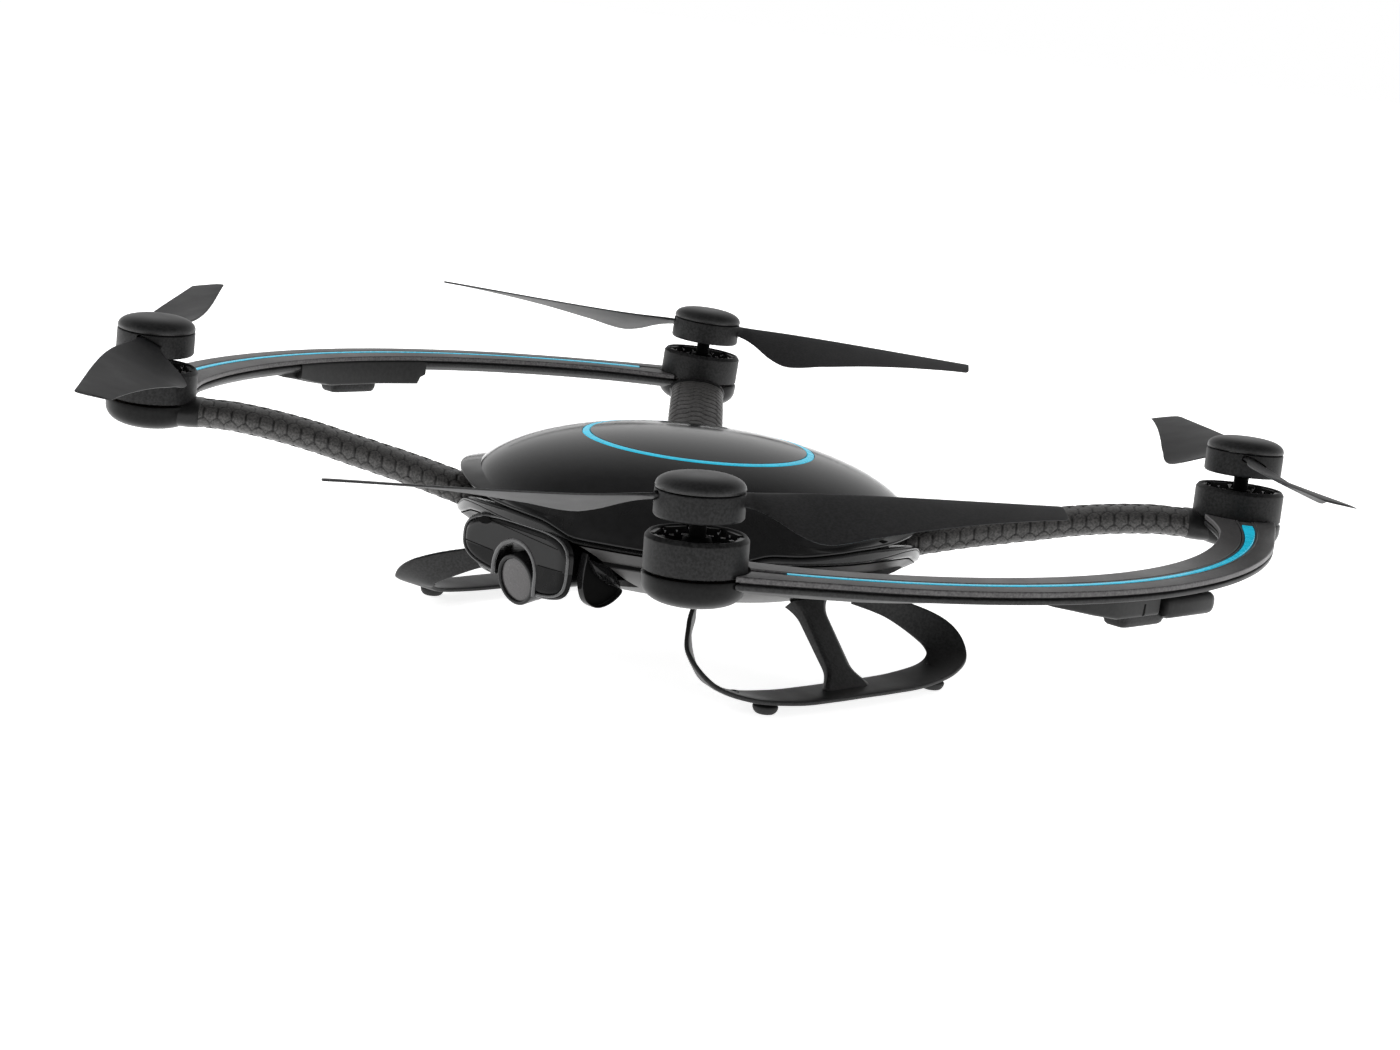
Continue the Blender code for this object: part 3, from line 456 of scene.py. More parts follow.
# near-black dull plastic: the own colour of the seams, sensor, shaft, bell floor and strut collar, and
# painted shade in the vents, the pod slot, the cheek gaps and the inside of the body
DARK = plastic("black_parts_and_painted_shade", grey(0.001), grey(0.002), (0.5, 0.7), 600.0, 0.1, specular=0.06)
RUBBER = plastic("soft_rubber", grey(0.010), grey(0.018), (0.62, 0.78), 800.0, 0.3)
SKIN = scale_skin("scale_skin")
CYAN = glowing("light_strip", (0.010, 0.350, 0.500), 0.60)
STEEL = metal("shaft_steel", grey(0.012), grey(0.030), (0.28, 0.42))
MAGNET = plastic("magnet_face", (0.78, 0.77, 0.76), (0.88, 0.87, 0.86), (0.3, 0.45))
COPPER = metal("copper_winding", (0.22, 0.09, 0.04), (0.38, 0.17, 0.08), (0.3, 0.5))
LENS = lens_coating("lens_coating")
BROW = brow_finish_painted_shade()


# ---------------------------------------------------------------- body

def dome_at(radius):
    """Height of the dome at a radius."""
    share = radius / DOME_RADIUS
    return DOME_BASE + DOME_HEIGHT * math.sqrt(max(0.0, 1.0 - share * share))


def from_arm(azimuth):
    """Degrees between an azimuth and the nearest arm."""
    folded = math.degrees(azimuth) % 180.0
    arm = math.degrees(MOTOR_AZIMUTH)
    return min(abs(folded - arm), abs(folded - (180.0 - arm)))


# degrees from the nearest arm, then the band's top, its groove and its lower edge, the lip's
# lower edge and the crease over the lip; the arms come out between band and lip
OPEN_STATIONS = [
    (0.0, 14.2, 13.4, 11.6, 26.2, 28.6),
    (8.0, 15.4, 14.6, 12.4, 25.9, 28.3),
    (15.0, 19.2, 18.2, 14.6, 25.2, 27.9),
    (20.0, 20.7, 19.4, 16.4, 24.7, 27.2),
    (27.0, 21.7, 20.0, 17.4, 24.0, 26.2),
    (33.0, 22.3, 19.9, 17.9, 23.5, 25.2),
    (40.0, 22.7, 19.5, 18.2, 23.15, 24.7),
    (45.0, 22.6, 19.3, 18.2, 22.95, 24.5),
]
# the same round the front left arm, where one hood closes the shells: degrees past that arm
HOOD_STATIONS = [
    (-45.0, 22.6, 19.3, 18.2, 22.95, 24.5),
    (-37.0, 22.0, 19.2, 18.2, 22.3, 24.0),
    (-33.0, 20.5, 19.2, 18.2, 20.8, 25.2),
    (-29.0, 18.9, 18.1, 17.5, 19.2, 28.4),
    (-20.0, 18.9, 18.1, 17.5, 19.2, 30.0),
    (12.0, 18.9, 18.1, 17.5, 19.2, 30.0),
    (18.0, 20.9, 19.0, 17.6, 21.25, 29.0),
    (27.0, 21.0, 19.2, 18.1, 21.35, 24.6),
    (36.0, 21.8, 19.2, 18.2, 22.15, 23.7),
    (45.0, 22.6, 19.3, 18.2, 22.95, 24.5),
]


def past_hood(azimuth):
    """Degrees past the front left arm, or None outside its quarter."""
    if math.cos(azimuth) <= 0.0 or math.sin(azimuth) >= 0.0:
        return None
    return math.degrees(math.atan2(math.sin(azimuth), math.cos(azimuth))) + 45.0


def shell_lines(azimuth):
    """Heights of the five lines that run round the shells, at an azimuth."""
    past = past_hood(azimuth)
    if past is None:
        return read_line(OPEN_STATIONS, from_arm(azimuth))
    return read_line(HOOD_STATIONS, past)


def hood_share(azimuth):
    """1 round the front left arm, where dome and lip are one smooth surface."""
    past = past_hood(azimuth)
    if past is None:
        return 0.0
    return smooth((past + 38.0) / 8.0) if past < 0.0 else smooth((30.0 - past) / 12.0)


def radius_at(height):
    """Radius at which the dome reaches a height."""
    return DOME_RADIUS * math.sqrt(max(0.0, 1.0 - ((height - DOME_BASE) / DOME_HEIGHT) ** 2))


def dome_profile(azimuth):
    """Dome, light ring groove, crease over the lip, the lip itself and the inner face."""
    half = RING_WIDTH / 2 + 0.25
    inner_edge = RING_RADIUS - half
    outer_edge = RING_RADIUS + half
    _, _, _, low, top = shell_lines(azimuth)
    hood = hood_share(azimuth)
    crease = radius_at(top)
    outer = [(radius, dome_at(radius)) for radius in np.linspace(0.0, inner_edge, 12)]
    outer += [(inner_edge + 0.12, dome_at(inner_edge) - 0.7), (outer_edge - 0.12, dome_at(outer_edge) - 0.7)]
    outer += [(radius, dome_at(radius)) for radius in np.linspace(outer_edge, 64.0, 12)]
    outer += [(radius, dome_at(radius)) for radius in np.linspace(64.0, crease, 6)[1:]]
    start = Vector((crease + 0.25, top - 0.35 + hood * (dome_at(crease + 0.25) - top + 0.35)))
    edge = Vector((LIP_RADIUS - 0.25, low + 0.85))
    shelf = Vector((LIP_RADIUS - 1.4, low + 1.0 + 0.35 * (top - low - 1.5)))
    reach = 0.7 * (edge.x - crease)
    fall = DOME_HEIGHT * crease / DOME_RADIUS ** 2 / math.sqrt(1.0 - (crease / DOME_RADIUS) ** 2)
    guide = shelf.lerp(Vector((crease + reach, top - fall * reach)), hood)
    for share in np.linspace(0.0, 1.0, 9):
        first = start.lerp(guide, share)
        outer.append(tuple(first.lerp(guide.lerp(edge, share), share)))
    lip = rounded([tuple(edge), (LIP_RADIUS, low + 0.5), (LIP_RADIUS - 0.1, low), (72.2, low)], 0.3, 4)[1:]
    inside = [(70.0, low + 0.4), (66.0, max(low + 1.0, 25.0)), (40.0, DOME_BASE + 18.0),
              (0.0, DOME_BASE + 21.0)]
    return outer + lip + inside


def build_dome():
    """Top shell and the light ring in its groove."""
    mesh = varied_turn("dome_shell", dome_profile, 192)
    add_piece("dome_shell", mesh, GLOSS, ["top_shell"])
    half = RING_WIDTH / 2
    inner = RING_RADIUS - half
    outer = RING_RADIUS + half
    corners = [(inner, dome_at(inner) - 0.6), (inner, dome_at(inner) + 0.02), (outer, dome_at(outer) + 0.02),
               (outer, dome_at(outer) - 0.6)]
    profile = rounded(corners, 0.25, 3)
    ring = turned_mesh("dome_light", profile, 192, closed=True)
    add_piece("dome_light", ring, CYAN, ["status_ring"])


VENT_AZIMUTHS = (9.0, 171.0, 81.0, 99.0, -171.0, -99.0)
VENT_HEIGHT = 23.0


def build_vents():
    """Small dark ovals set in the lip, in pairs at the sides and behind: painted shade for the inside of the
    vents.
    """
    for number, degrees in enumerate(VENT_AZIMUTHS):
        rings = []
        for share, depth in ((0.55, 0.9), (1.0, 0.45), (1.0, -0.9), (0.7, -1.6)):
            oval = superellipse(2.6 * share, 1.7 * share, 2.2, 28)
            rings.append([(LIP_RADIUS - 1.6 + depth, across, VENT_HEIGHT + up) for across, up in oval])
        turn = Matrix.Rotation(math.radians(degrees), 4, "Z")
        # painted shade: the dark ovals stand in for the shade inside the vents
        add_piece("shell_vent_%d" % number, tube_mesh("shell_vent", rings), DARK, place=turn)


BAND_INNER = 71.2
BELLY_SPREAD = 27.4
BELLY_WALL = 1.6


def band_profile(azimuth):
    """Rounded band with a fine groove along it."""
    top, groove, low, _, _ = shell_lines(azimuth)
    under = min(low + 0.7, groove - 0.35)
    outline = [(72.4, top), (74.2, top), (LIP_RADIUS, top - 0.6), (LIP_RADIUS + 0.05, groove + 0.22),
               (LIP_RADIUS - 0.4, groove), (LIP_RADIUS - 0.1, groove - 0.22), (LIP_RADIUS - 0.5, under),
               (73.4, low), (BAND_INNER, low)]
    return rounded(outline, 0.5, 3) + [(BAND_INNER, top - 0.2)]


def belly_rise(share, rim):
    """Height of the belly from its flat floor (share 0) to its rim (share 1)."""
    return BELLY_SLOPE * share + (rim - BELLY_SLOPE) * share ** 3


def belly_profile(azimuth):
    """Flat floor, curved wall and the inner face of the belly."""
    rim = shell_lines(azimuth)[2] - 0.3
    spread = BELLY_SPREAD + 1.1 * hood_share(azimuth)
    shares = np.linspace(0.0, 1.0, 18)
    outer = [(BELLY_RADIUS + spread * share, belly_rise(share, rim)) for share in shares]
    inner = [(BELLY_RADIUS + (BELLY_SPREAD - 2.0) * share, BELLY_WALL + belly_rise(share, rim - BELLY_WALL))
             for share in shares]
    return [(0.0, 0.0), (30.0, 0.0)] + outer + inner[::-1] + [(0.0, BELLY_WALL)]


POCKET_HALF_WIDTH = 29.0
POCKET_TOP = 19.3


def pocket_mesh():
    """Rounded recess in the nose, wider towards the front."""
    rings = []
    for y, grow in ((-92.0, 1.0), (-70.0, 0.6), (-49.0, 0.0)):
        outline = superellipse(POCKET_HALF_WIDTH + grow, POCKET_TOP, 4.0, 64)
        rings.append([(x, y, z - 2.0 if z < 0 else z) for x, z in outline])
    return tube_mesh("pocket", rings)


def build_lower_body():
    """Band, belly and a near-black core in place of the inner parts, all open at the nose; the core is
    painted shade that closes the view into the body.
    """
    # painted shade: the near-black core fills the body so that gaps into it read as shade
    core = [(0.0, 20.4), (70.0, 20.4), (70.6, 12.0), (60.0, 8.0), (46.0, 3.0), (0.0, 3.0)]
    band_mesh = varied_turn("lower_band", band_profile, 192, closed=True)
    belly_mesh = varied_turn("belly_bowl", belly_profile, 192)
    for name, mesh, finish, slot, nodes in (
            ("lower_band", band_mesh, GLOSS, "gloss_black", ["lower_shell"]),
            # painted reflection: the belly's lighter, warm finish stands in for the floor mirrored in it
            ("belly_bowl", belly_mesh, BELLY_FLOOR_REFLECTION, "satin_black", ["belly_cover"]),
            ("body_core", turned_mesh("body_core", core), DARK, "satin_black",
             ["chassis_plate", "battery", "flight_board"])):
        cut(add_piece(name, mesh, finish, nodes), pocket_mesh())


# ---------------------------------------------------------------- arms

ARM_LINE = [(60.0, 14.8), (73.0, 18.0), (91.0, 22.5), (104.0, 25.5), (125.0, 30.0), (145.0, 32.8),
            (156.0, 33.2), (164.0, 33.0)]
ARM_WIDTH_BODY = 21.0
ARM_WIDTH_MOTOR = 19.2
ARM_HEIGHT_BODY = 10.0
ARM_HEIGHT_MOTOR = 8.6
ARM_ROUNDNESS = 2.4
ARM_START = 60.0
ARM_END = 161.5
SCALE_PITCH = 4.5
SCALE_ROW = 5.4
SCALE_ARCH = 1.9
SCALE_RELIEF = 0.20
SEAM_WIDTH = 0.42
SEAM_DEPTH = 0.30
SKIN_ROWS = 300
SKIN_COLUMNS = 150


def scale_relief(along, around):
    """Height of overlapping arched scales that point up the arm's flank, and the seams between them."""
    def row_top(row):
        place = along / SCALE_PITCH + 0.5 * np.mod(row, 2)
        local = place - np.floor(place) - 0.5
        return (row + 1) * SCALE_ROW + SCALE_ARCH * (0.5 - np.abs(2 * local) ** 1.7), local

    row = np.floor(around / SCALE_ROW)
    top_below, _ = row_top(row - 1)
    row = np.where(around < top_below, row - 1, row)
    top_own, _ = row_top(row)
    row = np.where(around >= top_own, row + 1, row)
    top_own, local = row_top(row)
    top_below, _ = row_top(row - 1)
    to_side = (0.5 - np.abs(local)) * SCALE_PITCH
    to_low = around - top_below
    nearest = np.minimum(to_side, to_low)
    seam = np.clip(1.0 - nearest / SEAM_WIDTH, 0.0, 1.0)
    rise = np.clip(to_low / SCALE_ROW, 0.0, 1.0)
    dome = 1.0 - np.clip(1.0 - nearest / 0.9, 0.0, 1.0) ** 2
    return SCALE_RELIEF * (0.70 * rise + 0.30 * dome) - SEAM_DEPTH * seam, seam ** 0.5


def arm_direction(corner):
    """Level direction in which an arm points."""
    side, end = CORNERS[corner]
    return Vector((side * math.cos(MOTOR_AZIMUTH), end * math.sin(MOTOR_AZIMUTH), 0.0))


def arm_ring(forward, distance, outline):
    """Upright section of an arm at a distance from the middle of the body."""
    across = Vector((-forward.y, forward.x, 0.0))
    place = forward * distance + Vector((0.0, 0.0, read_line(ARM_LINE, min(distance, 163.0))[0]))
    return [tuple(place + across * x + Vector((0.0, 0.0, z))) for x, z in outline]


def skinned(outline, travelled):
    """Section of the arm with the relief of its scales, and how much of a seam each point is."""
    step = np.linalg.norm(np.diff(np.vstack([outline, outline[:1]]), axis=0), axis=1)
    around = np.concatenate([[0.0], np.cumsum(step)[:-1]])
    around = np.minimum(around, step.sum() - around)
    relief, seam = scale_relief(np.full(len(outline), travelled), around)
    normal = np.roll(outline, -1, axis=0) - np.roll(outline, 1, axis=0)
    normal = np.stack([normal[:, 1], -normal[:, 0]], axis=1)
    normal /= np.linalg.norm(normal, axis=1)[:, None]
    return outline + normal * (relief - SCALE_RELIEF)[:, None], seam


def build_arm(corner):
    """Bent arm with its scale skin as real relief."""
    forward = arm_direction(corner)
    rings = []
    seams = []
    travelled = 0.0
    before = None
    for index in range(SKIN_ROWS + 1):
        share = index / SKIN_ROWS
        distance = ARM_START + (ARM_END - ARM_START) * share
        height = read_line(ARM_LINE, distance)[0]
        if before is not None:
            travelled += math.dist((distance, height), before)
        before = (distance, height)
        half_width = (ARM_WIDTH_BODY + (ARM_WIDTH_MOTOR - ARM_WIDTH_BODY) * share) / 2
        half_height = (ARM_HEIGHT_BODY + (ARM_HEIGHT_MOTOR - ARM_HEIGHT_BODY) * share) / 2
        outline = superellipse(half_width, half_height, ARM_ROUNDNESS, SKIN_COLUMNS, start=-np.pi / 2)
        shaped, seam = skinned(outline, travelled)
        rings.append(arm_ring(forward, distance, shaped))
        seams.append(seam)
    mesh = tube_mesh("arm_skin_" + corner, rings, sharp=80.0)
    values = np.concatenate([np.concatenate(seams), np.zeros(2)]).astype(np.float32)
    mesh.attributes.new("seam", "FLOAT", "POINT").data.foreach_set("value", values)
    add_piece("arm_skin_" + corner, mesh, SKIN, ["arm_" + corner])


# distance from the middle, and how far the collar stands out
ARM_COLLAR_STEPS = [(158.3, -0.5), (158.5, 0.0), (159.0, 0.35), (160.0, 0.45), (162.0, 0.5), (166.0, 0.4)]


def build_arm_collar(corner):
    """Smooth sleeve where an arm runs into its motor cup."""
    forward = arm_direction(corner)
    rings = []
    for distance, grow in ARM_COLLAR_STEPS:
        half_height = ARM_HEIGHT_MOTOR / 2 + grow * 0.6
        outline = superellipse(ARM_WIDTH_MOTOR / 2 + grow, half_height, ARM_ROUNDNESS, 64)
        rings.append(arm_ring(forward, distance, outline))
    add_piece("arm_collar_" + corner, tube_mesh("arm_collar_" + corner, rings), SATIN)


# ---------------------------------------------------------------- bows

BOW_REACH = 179.7
BOW_POWER = 1.95
BOW_WIDTH = 17.0
BOW_END_WIDTH = 23.0
BOW_INSET = 0.8
BOW_TOP = 38.3
BOW_PLATE = 1.5
BOW_KEEL = 32.7
STRIPE_WIDTH = 1.7
STRIPE_END_WIDTH = 3.8
STRIPE_START = -0.83
STRIPE_END = 0.845
SEAT_RADIUS = 14.9


def motor_place():
    """Distance of every motor from the middle, along X and along Y."""
    return WHEELBASE / 2 * math.cos(MOTOR_AZIMUTH), WHEELBASE / 2 * math.sin(MOTOR_AZIMUTH)


def bow_half_length():
    """Half length of the curve that carries the bow through both motors."""
    x, y = motor_place()
    return y / (1.0 - (x / BOW_REACH) ** BOW_POWER) ** (1.0 / BOW_POWER)


def bow_point(share):
    """Centre line of the left bow: -1 at the front motor, +1 at the rear motor."""
    x, y = motor_place()
    semi = bow_half_length()
    limit = math.atan2((y / semi) ** (BOW_POWER / 2), (x / BOW_REACH) ** (BOW_POWER / 2))
    angle = share * limit
    return Vector((
        BOW_REACH * math.cos(angle) ** (2 / BOW_POWER),
        semi * math.copysign(abs(math.sin(angle)) ** (2 / BOW_POWER), angle),
        0.0,
    ))


def bow_frame(share):
    """Point on the bow and the level direction that points outward there."""
    step = 0.004
    along = (bow_point(min(share + step, 1.0)) - bow_point(max(share - step, -1.0))).normalized()
    return bow_point(share), Vector((along.y, -along.x, 0.0))


def bow_width(share):
    """Width of the bow, which grows towards the motors."""
    return BOW_WIDTH + (BOW_END_WIDTH - BOW_WIDTH) * smooth((abs(share) - 0.72) / 0.28)


def stripe_half(share):
    """Half width of the inlaid stripe, which grows towards the rear."""
    return (STRIPE_WIDTH + (STRIPE_END_WIDTH - STRIPE_WIDTH) * smooth((share - 0.45) / 0.5)) / 2


def bow_ring(side, share, section):
    """Section of (across, height) points stood up across the bow."""
    point, outward = bow_frame(share)
    return [(side * (point.x + outward.x * across), point.y + outward.y * across, height)
            for across, height in section]


def bow_sweep(name, side, section_at, start, end, steps):
    """Tube along the bow; section_at gives its section for a share."""
    shares = [start + (end - start) * index / steps for index in range(steps + 1)]
    return tube_mesh(name, [bow_ring(side, share, section_at(share)) for share in shares])


def bow_edges(share):
    """Inner and outer edge of the bow, measured outward from its centre line."""
    half = bow_width(share) / 2
    return -half - BOW_INSET, half - BOW_INSET


def plate_section(share):
    """Top plate with a channel for the stripe and a fine groove on each side of it."""
    inner, outer = bow_edges(share)
    channel = stripe_half(share) + 0.35
    low = BOW_TOP - BOW_PLATE
    top = [(outer, low), (outer, BOW_TOP), (channel + 0.9, BOW_TOP), (channel + 0.7, BOW_TOP - 0.25),
           (channel + 0.45, BOW_TOP - 0.05), (channel, BOW_TOP - 0.1), (channel, BOW_TOP - 0.8),
           (-channel, BOW_TOP - 0.8), (-channel, BOW_TOP - 0.1), (-channel - 0.45, BOW_TOP - 0.05),
           (-channel - 0.7, BOW_TOP - 0.6), (-channel - 1.0, BOW_TOP), (inner, BOW_TOP), (inner, low)]
    return rounded(top[:3], 0.5, 4) + top[3:11] + rounded(top[11:], 0.5, 4)


def keel_section(share):
    """Rounded body under the plate, set in a little so that a dark line parts the two."""
    inner, outer = bow_edges(share)
    top = BOW_TOP - BOW_PLATE - 0.3
    slope = smooth((share + 0.75) / 0.35)
    low_outer = outer * 0.55 + (inner * 0.30 - outer * 0.55) * slope
    outline = [(inner + 1.1, top + 0.3), (outer - 1.1, top + 0.3), (outer - 1.1, top - 0.3),
               (outer, top - 0.5), (outer - 0.1, top - 1.9), (low_outer, BOW_KEEL + 0.1),
               (inner * 0.70, BOW_KEEL + 0.1), (inner + 0.1, top - 1.9), (inner, top - 0.5),
               (inner + 1.1, top - 0.3), (inner + 1.1, top + 0.3)]
    return rounded(outline, 0.9, 4)[:-1]


def motor_axis(corner):
    """Where a motor stands and the turn that leans it."""
    side, end = CORNERS[corner]
    arm = arm_direction(corner)
    place = arm * WHEELBASE / 2
    place.z = MOTOR_PLANE
    lean = Quaternion(arm, MOTOR_CANT * -side * end)
    return place, lean


def seat_tool(side, end):
    """Cylinder round a motor's axis that trims the end of a bow."""
    x, y = motor_place()
    mesh = turned_mesh("seat", [(0.0, 20.0), (SEAT_RADIUS, 20.0), (SEAT_RADIUS, 60.0), (0.0, 60.0)])
    mesh.transform(Matrix.Translation(Vector((side * x, end * y, 0.0)) * MM))
    return mesh


def stripe_section(share):
    """Light strip with small bevels, a little narrower at its rear end."""
    half = stripe_half(share)
    if share > STRIPE_END - 0.012:
        half *= 0.93
    bevel = 0.12
    return [(half, BOW_TOP - 0.6), (half, BOW_TOP - bevel), (half - bevel, BOW_TOP), (bevel - half, BOW_TOP),
            (-half, BOW_TOP - bevel), (-half, BOW_TOP - 0.6)]


def infill_section(share):
    """Fills the plate's channel beyond the rear end of the light strip."""
    half = stripe_half(share) + 0.3
    return [(half, BOW_TOP - 0.75), (half, BOW_TOP - 0.3), (-half, BOW_TOP - 0.3), (-half, BOW_TOP - 0.75)]


def build_bow(side_name):
    """Top plate, keel, inlaid light stripe and the grey infill behind it."""
    side = SIDES[side_name]
    for name, section, finish, slot, nodes in (
            ("bow_plate_", plate_section, BOW_TOP_FINISH, "bow_grey", ["bow_" + side_name]),
            ("bow_keel_", keel_section, LEG, "satin_black", [])):
        mesh = bow_sweep(name + side_name, side, section, -0.985, 0.985, 150)
        piece = add_piece(name + side_name, mesh, finish, nodes)
        for end in (-1, 1):
            cut(piece, seat_tool(side, end))
    mesh = bow_sweep("bow_stripe_" + side_name, side, stripe_section, STRIPE_START, STRIPE_END, 140)
    add_piece("bow_stripe_" + side_name, mesh, CYAN, ["bow_light_" + side_name])
    mesh = bow_sweep("bow_infill", side, infill_section, STRIPE_END + 0.004, 0.97, 30)
    infill = add_piece("bow_infill_" + side_name, mesh, BOW_TOP_FINISH)
    cut(infill, seat_tool(side, 1))


# ---------------------------------------------------------------- motors and rotors

MAGNETS = 20
RIM_LANDS = 8
COILS = 12
# radius, leading edge, chord, pitch, thickness
BLADE_STATIONS = [
    (0.0, 3.7, 7.4, 16.0, 3.0),
    (12.5, 3.7, 7.8, 18.0, 3.0),
    (18.0, 4.4, 12.0, 19.5, 2.9),
    (25.0, 6.2, 20.8, 21.0, 2.8),
    (32.0, 7.4, 25.5, 21.0, 2.6),
    (44.0, 7.8, 24.0, 17.5, 2.3),
    (62.0, 7.0, 19.5, 13.5, 2.0),
    (80.0, 5.6, 14.8, 10.5, 1.8),
    (99.5, 4.2, 11.0, 8.0, 1.6),
]
BLADE_ROOT = 12.5
BLADE_TIP = 99.4
LEAD_HEIGHT = 20.7
TIP_ROUNDING = 1.6


def cup_profile():
    """Deep bowl with an upright rim."""
    profile = [(0.0, -CUP_DEPTH)]
    for degrees in range(84, -1, -6):
        angle = math.radians(degrees)
        profile.append((
            (CUP_RADIUS - 0.1) * math.cos(angle) ** 0.62,
            -2.6 - (CUP_DEPTH - 2.6) * math.sin(angle) ** 0.9,
        ))
    return profile + [(CUP_RADIUS - 0.05, -0.9), (CUP_RADIUS - 0.25, -0.55), (CUP_RADIUS - 0.8, -0.5),
                      (0.0, -0.5)]


def bell_wall_profile():
    """Thin wall of the bell with a rounded rim."""
    wall = BELL_RADIUS - 1.5
    outer = [(wall, 0.1), (BELL_RADIUS - 0.35, 0.1), (BELL_RADIUS, 0.4), (BELL_RADIUS, BELL_HEIGHT - 1.1),
             (BELL_RADIUS - 0.85, BELL_HEIGHT), (BELL_RADIUS - 1.35, BELL_HEIGHT),
             (wall - 0.1, BELL_HEIGHT - 0.3)]
    return rounded(outer, 0.14, 2) + [(wall - 0.1, 6.0)]


def bell_web_mesh(name):
    """Dark floor of the bell with a raised boss round the shaft."""
    profile = [(SHAFT_RADIUS - 0.2, 5.9), (BELL_RADIUS - 1.6, 5.9), (BELL_RADIUS - 1.6, 7.2), (10.4, 7.4),
               (9.8, 6.6), (4.4, 6.6), (3.8, 9.0), (3.3, 9.4), (SHAFT_RADIUS - 0.2, 9.4)]
    return turned_mesh(name, profile, 96, closed=True)


def rim_notch_mesh(name):
    """Faceted blocks inside the rim: flat-sided lands between shallow cut-outs."""
    points = []
    faces = []
    for index in range(RIM_LANDS):
        start = 2 * math.pi * (index + 0.14) / RIM_LANDS
        stop = 2 * math.pi * (index + 0.86) / RIM_LANDS
        ring = []
        for angle in (start, stop):
            for radius in (BELL_RADIUS - 1.25, BELL_RADIUS - 2.7):
                ring.append((radius * math.cos(angle), radius * math.sin(angle)))
        first = len(points)
        for height in (BELL_HEIGHT - 1.3, BELL_HEIGHT - 0.45):
            points += [(x, y, height) for x, y in (ring[0], ring[2], ring[3], ring[1])]
        faces += [tuple(first + corner for corner in face) for face in
                  ((0, 1, 2, 3), (4, 5, 6, 7), (0, 1, 5, 4), (1, 2, 6, 5), (2, 3, 7, 6), (3, 0, 4, 7))]
    return make_mesh(name, points, faces)


def magnet_mesh(name):
    """Small pale triangles in two staggered rows: on the wall and on the floor of the bell."""
    points = []
    faces = []

    def wedge(angle, corners):
        turn = Matrix.Rotation(angle, 3, "Z")
        first = len(points)
        points.extend(turn @ Vector(corner) for corner in corners)
        faces.extend([(first, first + 1, first + 2), (first + 3, first + 5, first + 4)])
        for index in range(3):
            after = (index + 1) % 3
            faces.append((first + index, first + after, first + 3 + after, first + 3 + index))

    wall = BELL_RADIUS - 1.55
    for index in range(MAGNETS):
        angle = 2 * math.pi * index / MAGNETS
        outline = ((-0.75, 9.2), (0.75, 9.2), (0.0, 7.8))
        wedge(angle, [(wall + 0.1, y, z) for y, z in outline] + [(wall - 0.35, y, z) for y, z in outline])
        outline = ((12.0, -0.75), (12.0, 0.75), (10.6, 0.0))
        corners = [(x, y, z) for z in (7.0, 7.55) for x, y in outline]
        wedge(angle + math.pi / MAGNETS, corners)
    return make_mesh(name, points, faces)


def winding_mesh(name):
    """Stator: copper coils round a core, inside the bell."""
    outer = BELL_RADIUS - 2.4

    def profile(azimuth):
        lobe = 0.5 + 0.5 * math.cos(COILS * azimuth)
        reach = outer - 1.1 * (1.0 - lobe) ** 2
        return [(2.8, 0.2), (reach, 0.2), (reach, 5.6), (reach - 1.5, 5.8), (2.8, 5.8)]

    return varied_turn(name, profile, 144, closed=True)


def shaft_profile():
    """Rod with a boss where it meets the hub."""
    boss = 2.9
    return [(0.0, 0.3), (SHAFT_RADIUS, 0.3), (SHAFT_RADIUS, HUB_BOTTOM - 1.3), (boss, HUB_BOTTOM - 1.0),
            (boss, HUB_BOTTOM + 0.3), (SHAFT_RADIUS, HUB_BOTTOM + 0.5), (SHAFT_RADIUS, HUB_BOTTOM + 1.5),
            (0.0, HUB_BOTTOM + 1.5)]


def hub_profile():
    """Open cup under the cap, with a boss round the shaft."""
    floor = HUB_BOTTOM + 2.1
    outer = [(SHAFT_RADIUS + 0.3, HUB_BOTTOM + 0.2), (3.9, HUB_BOTTOM + 0.2), (4.2, HUB_BOTTOM - 0.1),
             (HUB_RADIUS - 0.5, HUB_BOTTOM), (HUB_RADIUS, HUB_BOTTOM + 0.6), (HUB_RADIUS, HUB_TOP + 0.05),
             (HUB_RADIUS - 1.5, HUB_TOP + 0.05)]
    return rounded(outer, 0.5, 3) + [(HUB_RADIUS - 1.5, floor), (SHAFT_RADIUS + 0.3, floor)]


def cap_profile():
    """Domed cap with a thin gap below it."""
    low = HUB_TOP + 0.32
    profile = [(0.0, low), (HUB_RADIUS - 0.5, low), (HUB_RADIUS - 0.1, low + 0.1)]
    for degrees in range(6, 90, 6):
        turn = math.radians(degrees)
        profile.append((HUB_RADIUS * math.cos(turn) ** 0.62, low + CAP_HEIGHT * math.sin(turn) ** 0.8))
    return profile + [(0.0, low + CAP_HEIGHT)]


def aerofoil(count=16):
    """Shares along the chord and rises of a cambered section, from the leading edge round.

    The bulk follows the usual thickness curve of a four-digit wing section.
    """
    outline = []
    for index in range(count + 1):
        x = 0.5 - 0.5 * math.cos(math.pi * index / count)
        bulk = 3.4 * (0.2969 * math.sqrt(x) - 0.126 * x - 0.3516 * x ** 2 + 0.2843 * x ** 3
                      - 0.1015 * x ** 4)
        outline.append((0.5 - x, bulk))
    upper = [(share, 0.62 * bulk + 0.06) for share, bulk in outline]
    lower = [(share, -0.30 * bulk - 0.06) for share, bulk in outline[1:-1]]
    return upper + lower[::-1]


